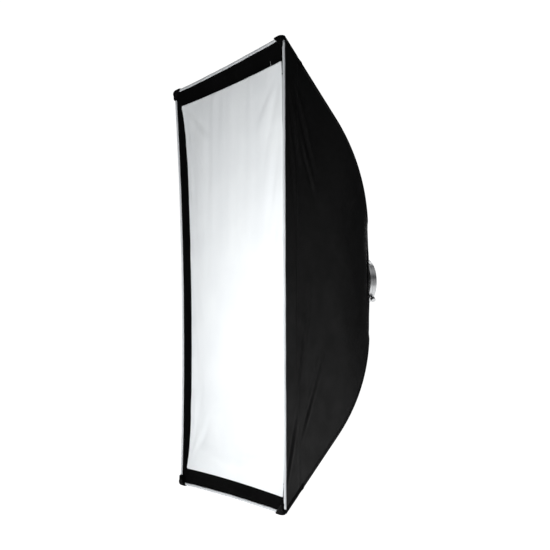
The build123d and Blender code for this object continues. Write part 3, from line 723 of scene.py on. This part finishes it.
def binding_section():
    """Outline of the folded tape as (inward, back) from the rim's outer front edge."""
    w, d, r = BINDING_WIDTH, BINDING_THICKNESS, BINDING_ROUND
    points = []
    for (cx, cy), start in (((r, r), 180), ((w - r, r), 270), ((w - r, d - r), 0), ((r, d - r), 90)):
        for step in range(5):
            angle = radians(start + step * 22.5)
            points.append((cx + r * cos(angle), cy + r * sin(angle)))
    points.append((0, d / 2))
    return np.array(points)


def rim_binding(side):
    """Folded tape round the rim's edge, with the stitches that hold it."""
    half = HALF_EDGE[SIDES[side][0]]
    reach = (half - BINDING_SHORT[SIDES[side][0]]) / half
    t = np.linspace(-reach, reach, 150)
    edge = panel_point(side, 0.0, t)
    section = binding_section()[None]
    length = t * half
    swell = (1 + 0.03 * np.sin(length * 60 + 1.3) + 0.02 * np.sin(length * 140))[:, None, None]
    wobble = (0.18 * MM * np.sin(length * 31 + 0.7) + 0.08 * MM * np.sin(length * 90))[:, None]
    inward = inward_way(side)
    sections = (
        edge[:, None, :] + inward * (section[..., :1] * swell + wobble[..., None])
        + BACKWARD * (section[..., 1:] * (2 - swell))
    )
    piece = mesh_piece(f"binding_{side}", tube_mesh(sections), [BINDING], "softbox")
    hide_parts(f"rim_binding_{side}")
    path = edge + inward * (BINDING_WIDTH - 1.7 * MM) + wobble * inward - 0.02 * MM * BACKWARD
    stitches = stitch_mesh(path, -BACKWARD, *BINDING_STITCH)
    mesh_piece(f"binding_stitches_{side}", stitches, [PALE_THREAD], "softbox")


for side in SIDES:
    rim_binding(side)

# ---------------- loop bands and front diffuser
DIFF_X, DIFF_Z = DIFFUSER_BOX[1].x, DIFFUSER_BOX[1].z
DIFF_DEPTH = -DIFFUSER_BOX[0].y
BAND_FRONT = -BAND_BOX[0].y
BAND_IN_X, BAND_IN_Z = SIDE_BAND_BOX[0].x, BAND_BOX[0].z
RIM_BACK = 5.6 * MM         # the middle of a long side lies this much deeper than its ends,
RIM_IN = 12.7 * MM          # and this far in
EXTRA_BACK = 6 * MM         # the diffuser's edge goes further still, soon after the corners
EXTRA_IN = 6 * MM
END_BACK = 1 * MM
END_IN = 3 * MM
DIFFUSER_DROP = 6 * MM      # the diffuser was pressed on a little low,
DIFFUSER_TILT = 3.6 * MM    # most at its right end,
TOP_PULL = 4.5 * MM         # and drawn up along its top edge
BAND_THICKNESS = 1.0 * MM
BAND_SHORT = {"x": 12 * MM, "z": 14 * MM}   # the bands end this far from the rim's corners
BAND_LAP = 1.5 * MM         # and start this far under the binding,
BAND_LOW = 2.6 * MM         # this far in front of the cloth's edge
BAND_SLOPE = {"x": 0.42, "z": 0.5}          # they slope down over this share of their width
SIDE_BAND_SINK = 1.3 * MM   # the side bands lie this much deeper over the end bands


def band_sink(x, z):
    """How far back the band and the diffuser's edge lie, between the corners."""
    near_side = smoothstep(0.55, 1.0, np.abs(x) / DIFF_X)
    near_end = smoothstep(0.70, 1.0, np.abs(z) / DIFF_Z)
    up = np.clip(np.abs(z) / DIFF_Z, 0, 1)
    side_part = RIM_BACK * (1 - up**2) + EXTRA_BACK * (1 - up**8)
    end_part = END_BACK * (1 - np.clip(np.abs(x) / DIFF_X, 0, 1) ** 2)
    return side_part * near_side + end_part * near_end


def loop_band(side):
    """Band of loop tape, from under the binding in to its free edge behind the diffuser."""
    axis, sign = SIDES[side]
    along_z = axis == "x"
    half = HALF_EDGE[axis]
    reach = 1 - BAND_SHORT[axis] / half
    t = np.linspace(-reach, reach, 130)[:, None]
    share = np.linspace(0, 1, 26)[None, :]
    edge = panel_point(side, 0.0, t)
    inner = BAND_IN_X if along_z else BAND_IN_Z
    outer = np.abs(edge[..., OUT_INDEX[axis]]) - (BINDING_WIDTH - BAND_LAP)
    place, length = np.broadcast_arrays(outer + (inner - outer) * share, t * half)
    x, z = (place, length) if along_z else (length, place)
    flat_depth = BAND_FRONT - band_sink(x, z)
    if along_z:
        flat_depth = flat_depth - SIDE_BAND_SINK * smoothstep(BAND_IN_Z - 4 * MM, BAND_IN_Z, np.abs(z))
    blend = smoothstep(0, BAND_SLOPE[axis], share)
    depth = (-edge[..., 1] - BAND_LOW) * (1 - blend) + flat_depth * blend
    unevenness = smoothstep(0.0, 0.3, share) * (1 - smoothstep(0.45, 0.6, share))
    depth = depth + 0.35 * MM * ripple(x * 1.7, z * 1.7, 5.0) * unevenness
    flat = xyz(sign * x, -depth, z) if along_z else xyz(x, -depth, sign * z)
    points = flat * (1 - blend)[..., None] + twisted(flat) * blend[..., None]
    piece = sheet_piece(
        f"loop_tape_{side}", points, BAND_THICKNESS, [LOOP], "softbox", BACKWARD,
    )
    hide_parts(f"loop_band_{side}")


for side in SIDES:
    loop_band(side)

DIFF_STEP = 8 * MM
DIFF_COLUMNS = int(round(2 * DIFF_X / DIFF_STEP)) + 1
DIFF_ROWS = int(round(2 * DIFF_Z / DIFF_STEP)) + 1
DIFF_THICKNESS = 0.6 * MM
PINNED_ROWS = 3
SLACK_X, SLACK_Z = 1.007, 1.003


def diffuser_target(u, v):
    """Where the diffuser's points lie when it is drawn flat over the bowed band; u and v from -1 to 1."""
    side_in = RIM_IN * (1 - v**2) + EXTRA_IN * (1 - v**8)
    x = DIFF_X * u - side_in * np.sign(u) * np.abs(u) ** 3
    z = DIFF_Z * v - END_IN * np.sign(v) * np.abs(v) ** 3 * (1 - u**2)
    depth = DIFF_DEPTH - band_sink(x, z)
    z = z - DIFFUSER_DROP - DIFFUSER_TILT * u + TOP_PULL * smoothstep(0.3, 1, v)
    return twisted(xyz(x, -depth, z))


def gathers(place, wavelength, phase):
    """Uneven gathers along an edge, from -1 to 1."""
    turn = 2 * pi * place / wavelength
    return (np.sin(turn + 1.2 * np.sin(0.31 * turn + phase)) + 0.6 * np.sin(1.83 * turn + 2.3 * phase)) / 1.6


# Folds from the diffuser's corners, by the corner's signs, in the form of the shell's folds.
DIFFUSER_FOLDS = {
    (-1, 1): ((28, 8, 260, 8, 1.6), (52, 10, 300, 11, 1.5), (74, 15, 330, 12, 1.3)),
    (1, 1): ((40, 10, 200, 10, 1.1), (66, 20, 260, 12, 1.2)),
    (-1, -1): ((38, 10, 240, 10, 1.4), (64, 15, 260, 12, 1.2)),
    (1, -1): ((35, 10, 200, 11, 1.0), (60, 20, 220, 12, 1.0)),
}


def diffuser_relief(x, z):
    """How far the drawn cloth stands forward: gathers at its hems and creases from its corners."""
    to_top, to_bottom, to_side = DIFF_Z - z, DIFF_Z + z, DIFF_X - np.abs(x)
    lean = x + 0.05 * to_top
    relief = 0.75 * MM * gathers(x, 38 * MM, 0.6) * np.exp(-to_top / (34 * MM))
    relief += 1.3 * MM * gathers(lean, 92 * MM, 2.1) * np.exp(-to_top / (230 * MM))
    relief += 0.5 * MM * gathers(x, 44 * MM, 3.4) * np.exp(-to_bottom / (30 * MM))
    relief += 0.6 * MM * gathers(z, 58 * MM, 1.3 + np.sign(x)) * np.exp(-to_side / (32 * MM))
    relief += 0.9 * MM * gathers(z, 150 * MM, 4.0) * np.exp(-to_side / (120 * MM))
    relief += 0.8 * MM * ripple(x * 0.9, z * 0.5, 1.1)
    for (side_x, side_z), folds in DIFFUSER_FOLDS.items():
        for one in folds:
            relief = relief + fold(DIFF_Z - side_z * z, DIFF_X - side_x * x, *one)
    return relief


def simulated(points, rest, pinned, frames=28, bending=0.6, gravity=0.3):
    """Cloth simulation of a grid of points, held at the pinned ones, with its flat shape as rest."""
    rows, columns = points.shape[:2]
    mesh = bpy.data.meshes.new("simulated")
    mesh.from_pydata(points.reshape(-1, 3).tolist(), [], grid_faces(rows, columns))
    cloth_object = new_object("simulated", mesh)
    cloth_object.shape_key_add(name="Basis")
    flat = cloth_object.shape_key_add(name="flat")
    flat.data.foreach_set("co", rest.reshape(-1))
    group = cloth_object.vertex_groups.new(name="pins")
    group.add(np.flatnonzero(pinned.reshape(-1)).tolist(), 1.0, "REPLACE")
    modifier = cloth_object.modifiers.new("cloth", "CLOTH")
    for name, value in {
        "quality": 7, "mass": 0.15, "vertex_group_mass": "pins", "rest_shape_key": flat,
        "tension_stiffness": 25, "compression_stiffness": 25, "shear_stiffness": 12,
        "tension_damping": 12, "compression_damping": 12, "shear_damping": 12,
        "bending_stiffness": bending, "bending_damping": 1, "air_damping": 4,
    }.items():
        setattr(modifier.settings, name, value)
    modifier.settings.effector_weights.gravity = gravity
    modifier.collision_settings.use_collision = False
    modifier.point_cache.frame_start = 1
    modifier.point_cache.frame_end = frames
    scene = bpy.context.scene
    for number in range(1, frames + 1):
        scene.frame_set(number)
    result = cloth_object.evaluated_get(bpy.context.evaluated_depsgraph_get()).to_mesh()
    settled = np.zeros(rows * columns * 3)
    result.vertices.foreach_get("co", settled)
    bpy.data.objects.remove(cloth_object)
    scene.frame_set(1)
    return settled.reshape(rows, columns, 3)


def diffuser_cloth():
    """Front diffuser: a flat sheet with a little slack, stuck down along its edges."""
    u, v = np.meshgrid(np.linspace(-1, 1, DIFF_COLUMNS), np.linspace(-1, 1, DIFF_ROWS))
    target = diffuser_target(u, v)
    rest = xyz(SLACK_X * DIFF_X * u, -DIFF_DEPTH, SLACK_Z * DIFF_Z * v)
    pinned = np.ones(u.shape, bool)
    pinned[PINNED_ROWS:-PINNED_ROWS, PINNED_ROWS:-PINNED_ROWS] = False
    points = target.copy()
    points[..., 1] -= 0.5 * MM * np.clip((1 - u**2) * (1 - v**2) * 6, 0, 1)
    points = simulated(points, rest, pinned)
    on_band = np.maximum(
        smoothstep(BAND_IN_X - 30 * MM, BAND_IN_X - 4 * MM, np.abs(points[..., 0])),
        smoothstep(BAND_IN_Z - 30 * MM, BAND_IN_Z - 4 * MM, np.abs(points[..., 2])),
    )
    laid = np.minimum(points[..., 1], target[..., 1])
    points[..., 1] += (laid - points[..., 1]) * on_band
    x, z = DIFF_X * u, DIFF_Z * v
    relief = diffuser_relief(x, z)
    relief = np.where(relief < 0, relief * (1 - 0.6 * on_band), relief)
    hem = np.minimum(1, np.minimum(DIFF_X - np.abs(x), DIFF_Z - np.abs(z)) / (10 * MM))
    points[..., 1] -= relief * (0.35 + 0.65 * hem)
    return points


diffuser = sheet_piece(
    "diffuser", diffuser_cloth(), DIFF_THICKNESS, [WHITE], "diffuser", BACKWARD,
)
subdivided(diffuser, 1)
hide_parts("front_diffuser")

HOOK_WIDTH = 22 * MM
HOOK_THICKNESS = 0.9 * MM
HOOK_INSET = 0.6 * MM       # from the diffuser's edge
DIFFUSER_STITCH_INSET = 3 * MM


def hook_strip(along_x, sign):
    """Strip of hook tape sewn behind one edge of the diffuser."""
    along = np.linspace(-0.996, 0.996, 120)[:, None]
    inset = np.linspace(0, 1, 8)[None, :] * HOOK_WIDTH + HOOK_INSET
    if along_x:
        u, v = np.broadcast_arrays(along, sign * (1 - inset / DIFF_Z))
    else:
        u, v = np.broadcast_arrays(sign * (1 - inset / DIFF_X), along * (1 - (HOOK_WIDTH + 2 * MM) / DIFF_Z))
    points = diffuser_target(u, v)
    points[..., 1] += DIFF_THICKNESS + 0.15 * MM
    return slab(points, points + HOOK_THICKNESS * BACKWARD)


strips = joined([hook_strip(along, sign) for along in (True, False) for sign in (-1, 1)])
hook_tape = mesh_piece("hook_tape", strips, [WHITE_HOOK], "diffuser")
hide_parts("diffuser_hook_tape")


def diffuser_seam(inset):
    """Closed path a distance in from the diffuser's edge."""
    u_in, v_in = 1 - inset / DIFF_X, 1 - inset / DIFF_Z
    line = np.linspace(-1, 1, 120)
    across = np.stack(np.broadcast_arrays(line * u_in, v_in), -1)
    down = np.stack(np.broadcast_arrays(u_in, -line * v_in), -1)
    u, v = np.concatenate([across, down, -across, -down]).T
    path = diffuser_target(u, v)
    path[:, 1] -= 0.1 * MM
    return path


stitches = stitch_mesh(diffuser_seam(DIFFUSER_STITCH_INSET), -BACKWARD)
mesh_piece("diffuser_stitches", stitches, [WHITE_THREAD], "diffuser")

LOOSE_PLACE = (222 * MM, 401 * MM)      # x and z of its lower end
LOOSE_LENGTH = 13 * MM
LOOSE_RADIUS = 0.3 * MM


def loose_thread():
    """Thread end that lies over the top band in a slight wave."""
    turn = np.linspace(0, 1, 24)
    path = twisted(xyz(
        LOOSE_PLACE[0] + 1.1 * MM * np.sin(5 * turn),
        -BAND_FRONT - 0.7 * MM - 0.8 * MM * turn * (1 - turn),
        LOOSE_PLACE[1] + LOOSE_LENGTH * turn,
    ))
    around = np.linspace(0, 2 * pi, 8, endpoint=False)
    ring = LOOSE_RADIUS * xyz(np.cos(around), np.sin(around), 0)
    return tube_mesh(path[:, None, :] + ring[None])


mesh_piece("loose_thread", loose_thread(), [PALE_THREAD], "softbox")

# ---------------- rear collar
COLLAR_THICKNESS = 0.8 * MM
COLLAR_COLUMNS = 288
COLLAR_SQUARENESS = 14      # power of the rounded rectangle that it starts from
COLLAR_GATHER = 1.6 * MM    # height of its pleats
COLLAR_SWELL = 0.5 * MM
PLEATS = 30
MOUTH_AT = -COLLAR_BOX[1].y
MOUTH_SAG = 5 * MM          # between the arms the mouth is drawn this far forward along the hub
END_RADIUS = float(ridge(RIDGE_LENGTH)[0])      # of the ridges where the shell ends


def mouth_depth(angle):
    """Depth of the collar's mouth: held up over the four arms, and lower between them."""
    arm = float(np.arctan2(SIN_D, COS_D))
    from_axis = np.abs((np.asarray(angle, float) + pi / 2) % pi - pi / 2)
    return MOUTH_AT + MOUTH_SAG * smoothstep(0.20, 0.42, np.abs(from_axis - arm))


def collar_point(angle, share, lift=0.0):
    """Points of the collar, from the shell's end at share 0 to the gathered mouth at 1."""
    c, s = np.cos(angle), np.sin(angle)
    squared = np.abs(c / (COS_D * END_RADIUS)) ** COLLAR_SQUARENESS
    squared = squared + np.abs(s / (SIN_D * END_RADIUS)) ** COLLAR_SQUARENESS
    size = squared ** (-1 / COLLAR_SQUARENESS) * (1 - share) + COLLAR_MOUTH_R * share
    depth = COLLAR_DEPTH + (mouth_depth(angle) - COLLAR_DEPTH) * share
    pleat = (1 - np.abs(np.sin(angle * PLEATS / 2 + 0.35 * np.sin(3 * angle)))) ** 1.5
    gather = COLLAR_GATHER * pleat * smoothstep(0.25, 0.9, share) * (1 - smoothstep(0.93, 1.0, share))
    height = gather + lift + COLLAR_SWELL * np.sin(pi * share)
    out = size + height * 0.55
    return xyz(out * c, -depth + height * 0.6, out * s)


collar_angle = np.linspace(0, 2 * pi, COLLAR_COLUMNS, endpoint=False)
share = np.linspace(0, 1, 26)[:, None]
outside = collar_point(collar_angle, share)
inside = collar_point(collar_angle, share, -COLLAR_THICKNESS)
collar = mesh_piece("collar", slab(outside, inside, True), [NYLON_END, SILVER], "softbox")
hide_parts("rear_collar")


def collar_hem():
    """Rolled hem round the collar's mouth."""
    angle = collar_angle[:, None]
    around = np.linspace(0, 2 * pi, 12, endpoint=False)
    thickness = 1.25 * MM + 0.25 * MM * np.sin(angle * PLEATS * 2)
    radius = COLLAR_MOUTH_R + 0.4 * MM + thickness * np.cos(around)
    y = -mouth_depth(angle) - 0.6 * MM + 1.9 * MM * np.sin(around)
    points = xyz(radius * np.cos(angle), y, radius * np.sin(angle))
    return points, grid_faces(*points.shape[:2], close_rows=True, close_columns=True)


mesh_piece("collar_hem", collar_hem(), [WEBBING], "softbox")

# ---------------- rod sleeves
SLEEVE_RADIUS = 2.4 * MM
SLEEVE_FIN = 1.4 * MM       # its seam stands out by this much
SLEEVE_START = 48 * MM      # behind the rim


def rod_sleeve(side_x, side_z):
    """Uneven cloth tube over a rod, with its seam towards the ridge."""
    s = np.linspace(SLEEVE_START, RIDGE_LENGTH - 2 * MM, 140)
    radius, depth, slope = ridge(s, ROD_INSET)
    centre = xyz(side_x * COS_D * radius, -depth, side_z * SIN_D * radius)
    out = xyz(side_x * COS_D * np.sin(slope), np.cos(slope), side_z * SIN_D * np.sin(slope))
    side_way = np.array([-side_z * SIN_D, 0, side_x * COS_D])
    size = SLEEVE_RADIUS + 0.18 * MM * np.sin(s * 700) + 0.12 * MM * np.sin(s * 1530 + 1)
    around = np.linspace(0, 2 * pi, 14, endpoint=False)
    cosine, sine = np.cos(around)[None, :, None], np.sin(around)[None, :, None]
    out = out[:, None, :]
    circle = size[:, None, None] * (cosine * out + sine * side_way)
    return tube_mesh(centre[:, None, :] + circle + SLEEVE_FIN * (cosine > 0.9) * out)


for corner, sides in CORNERS.items():
    sleeve = mesh_piece(f"sleeve_{corner}", rod_sleeve(*sides), [NYLON], "softbox")
    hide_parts(f"rod_sleeve_{corner}")

# ---------------- inner baffle, straps and tabs
BAFFLE_X, BAFFLE_Z = BAFFLE_BOX[1].x, BAFFLE_BOX[1].z
BAFFLE_DEPTH = -BAFFLE_BOX[0].y
BAFFLE_STEP = 10 * MM
BAFFLE_THICKNESS = 0.6 * MM
BAFFLE_SHRINK = np.array([0.997, 1, 0.997])     # it is stretched from this much of its size
SCALLOP_X, SCALLOP_Z = 6 * MM, 7 * MM           # how far its edges curve in between the straps
STRAP_X, STRAP_Z = 110 * MM, 180 * MM
STRAP_HALF = 10 * MM
STRAP_THICKNESS = 1.1 * MM
STRAP_WAVE = 0.25 * MM
STRAP_LAP = 9 * MM          # sewn this far onto the baffle


def baffle_cloth():
    """Inner diffuser: a sheet pulled out at eight straps, its edges curving in between them."""
    columns, rows = int(2 * BAFFLE_X / BAFFLE_STEP) + 1, int(2 * BAFFLE_Z / BAFFLE_STEP) + 1
    u, v = np.meshgrid(np.linspace(-1, 1, columns), np.linspace(-1, 1, rows))
    x, z = BAFFLE_X * u, BAFFLE_Z * v
    near_strap_z = np.abs(np.abs(z) - STRAP_Z) < STRAP_HALF + 1 * MM
    near_strap_x = np.abs(np.abs(x) - STRAP_X) < STRAP_HALF + 1 * MM
    pinned = ((np.abs(u) > 0.999) & near_strap_z) | ((np.abs(v) > 0.999) & near_strap_x)
    start_x = x - np.sign(u) * u**4 * SCALLOP_Z * np.cos(pi * z / (2 * STRAP_Z)) ** 2
    start_z = z - np.sign(v) * v**4 * SCALLOP_X * np.cos(pi * x / (2 * STRAP_X)) ** 2
    inner = 1 - np.maximum(np.abs(u), np.abs(v)) ** 6
    y = -BAFFLE_DEPTH + 1.5 * MM * ripple(x * 2, z * 2, 0.7) * inner + 0.5 * MM
    start = xyz(start_x, y, start_z)
    rest = xyz(x, -BAFFLE_DEPTH, z) * BAFFLE_SHRINK
    return simulated(start, rest, pinned, 20, 1.0, 0.1)


baffle = sheet_piece(
    "baffle", baffle_cloth(), BAFFLE_THICKNESS, [WHITE], "softbox", BACKWARD,
)
subdivided(baffle, 1)
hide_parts("inner_baffle")


def strap_mesh(start, end, width_way):
    """Flat strap between two points, with rolled edges and a slight wave."""
    share = np.linspace(0, 1, 14)[:, None, None]
    across = np.linspace(-1, 1, 9)[None, :, None]
    points = np.array(start) * (1 - share) + np.array(end) * share
    points = points + np.array(width_way) * across * STRAP_HALF
    points += BACKWARD * STRAP_WAVE * np.sin(share * pi * 2.2 + across * 0.8)
    edge = BACKWARD * STRAP_THICKNESS * (0.5 - 0.22 * np.abs(across) ** 6)
    return slab(points - edge, points + edge)


def wall_reach(side, across, y):
    """How far out the inside of a panel lies at a place across it."""
    axis = SIDES[side][0]
    lengths = np.linspace(60 * MM, 0.9 * RIDGE_LENGTH, 200)
    t = across / (SHARES[axis][1] * ridge(lengths)[0])
    points = panel_point(side, lengths, t, -(PANEL_THICKNESS + 2.2 * MM))
    return float(np.interp(y, points[:, 1], np.abs(points[:, OUT_INDEX[axis]])))


def strap(side, place):
    """Strap from the baffle's edge out to a panel."""
    axis, sign = SIDES[side]
    inner = (BAFFLE_X if axis == "x" else BAFFLE_Z) - STRAP_LAP
    y = (STRAPS_BOX[0].y + STRAPS_BOX[1].y) / 2
    outer = wall_reach(side, place, y)
    if axis == "x":
        return strap_mesh((sign * inner, y - 1.2 * MM, place), (sign * outer, y, place), (0, 0, 1))
    return strap_mesh((place, y - 1.2 * MM, sign * inner), (place, y, sign * outer), (1, 0, 0))


STRAP_PLACES = {"x": STRAP_Z, "z": STRAP_X}
ends = [(side, sign * STRAP_PLACES[SIDES[side][0]]) for side in SIDES for sign in (-1, 1)]
straps = mesh_piece("straps", joined([strap(*one) for one in ends]), [ELASTIC], "softbox")
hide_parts("baffle_straps")

TAB_HALF_WIDTH, TAB_HALF_LENGTH = 13 * MM, 17 * MM
TAB_FROM, TAB_TO = 0.3 * MM, 1.5 * MM           # inside the panel


def tab(side, place):
    """Piece of loop tape inside a panel, where a strap ends."""
    lengths = np.linspace(0, RIDGE_LENGTH, 400)
    middle = float(np.interp(-BAFFLE_DEPTH, -ridge(lengths)[1], lengths))
    across_half = SHARES[SIDES[side][0]][1] * float(ridge(middle)[0])
    s = middle + np.linspace(-TAB_HALF_LENGTH, TAB_HALF_LENGTH, 12)[:, None]
    t = (place + np.linspace(-TAB_HALF_WIDTH, TAB_HALF_WIDTH, 9)[None, :]) / across_half
    outer, inner = (panel_point(side, s, t, -(PANEL_THICKNESS + gap)) for gap in (TAB_FROM, TAB_TO))
    return slab(outer, inner)


tabs = mesh_piece("tabs", joined([tab(*one) for one in ends]), [LOOP], "softbox")
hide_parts("strap_tabs")

# ---------------- camera
CAMERA_AZIMUTH = radians(66.34)
CAMERA_ELEVATION = radians(-2.99)
CAMERA_ROLL = radians(-0.61)
CAMERA_DISTANCE = 2.838
CAMERA_LENS = 84.3
CAMERA_TARGET = Vector((-0.107, -0.170, 0.018))

camera = new_object("camera", bpy.data.cameras.new("camera"))
back = Vector((
    sin(CAMERA_AZIMUTH) * cos(CAMERA_ELEVATION), -cos(CAMERA_AZIMUTH) * cos(CAMERA_ELEVATION),
    sin(CAMERA_ELEVATION),
))
turned = (-back).to_track_quat("-Z", "Y").to_matrix().to_4x4() @ Matrix.Rotation(CAMERA_ROLL, 4, "Z")
camera.matrix_world = Matrix.Translation(CAMERA_TARGET + back * CAMERA_DISTANCE) @ turned
camera.data.lens = CAMERA_LENS
camera.data.sensor_width = 36
bpy.context.scene.camera = camera

# ---------------- floor and light
FLOOR_GAP = 4 * MM
FLOOR_HALF = 1.1
FLOOR_GLOW = 0.95
WORLD_GLOW = 0.03           # on the object; the backdrop is white only to the camera
BACKDROP_GLOW = 1.05


def pale_floor():
    """Plain pale floor under the lower corners."""
    level = -HALF_H - CAP_PROUD - FLOOR_GAP
    corners = [(x * FLOOR_HALF, y * FLOOR_HALF, level) for x, y in ((-1, -1), (1, -1), (1, 1), (-1, 1))]
    mesh = bpy.data.meshes.new("floor")
    mesh.from_pydata(corners, [], [[0, 1, 2, 3]])
    material, _, inputs, _ = shader("pale_floor", (0.8, 0.8, 0.8), 0.9, 0, 0.1)
    inputs["Emission Color"].default_value = (1, 1, 1, 1)
    inputs["Emission Strength"].default_value = FLOOR_GLOW
    mesh.materials.append(material)
    floor = new_object("floor", mesh)


def area_light(name, place, target, size, power, spread=180):
    """Soft square light that points at a target."""
    data = bpy.data.lights.new(name, "AREA")
    data.shape = "SQUARE"
    data.size = size
    data.energy = power
    data.spread = radians(spread)
    lamp = new_object(name, data)
    lamp.location = place
    lamp.rotation_mode = "QUATERNION"
    lamp.rotation_quaternion = (Vector(target) - Vector(place)).to_track_quat("-Z", "Y")


def soft_world():
    """White backdrop for the camera, and a weak even light for everything else."""
    world = bpy.data.worlds.new("studio")
    bpy.context.scene.world = world
    world.use_nodes = True
    nodes, links = world.node_tree.nodes, world.node_tree.links
    mix = nodes.new("ShaderNodeMixShader")
    links.new(nodes.new("ShaderNodeLightPath").outputs["Is Camera Ray"], mix.inputs["Fac"])
    backgrounds = ((nodes["Background"], WORLD_GLOW), (nodes.new("ShaderNodeBackground"), BACKDROP_GLOW))
    for socket, (background, glow) in zip(mix.inputs[1:], backgrounds):
        background.inputs["Color"].default_value = (1, 1, 1, 1)
        background.inputs["Strength"].default_value = glow
        links.new(background.outputs["Background"], socket)
    links.new(mix.outputs["Shader"], nodes["World Output"].inputs["Surface"])


pale_floor()
soft_world()
area_light("key", (0.95, -1.5, -0.40), (0.15, -0.33, -0.2), 0.6, 5.7, 80)
area_light("fill", (-0.6, -2.6, -0.05), (0, -0.33, -0.15), 1.6, 4.5)
area_light("low_rear", (0.75, 1.5, -0.32), (0.2, -0.1, -0.35), 0.7, 1.08, 90)
area_light("ring_side", (1.7, 0.95, -0.15), (0, 0, 0), 0.9, 0.9)
area_light("overhead", (-0.42, 0.5, 1.3), (0, 0.02, 0), 0.7, 2.2)
area_light("ring_upper", (0.62, 0.5, 0.8), (0.04, 0, 0), 0.9, 0.14, 60)
area_light("back_left", (-2.6, 1.5, 0.9), (0, -0.1, 0), 1.5, 16)
bpy.context.scene.view_settings.view_transform = "Standard"
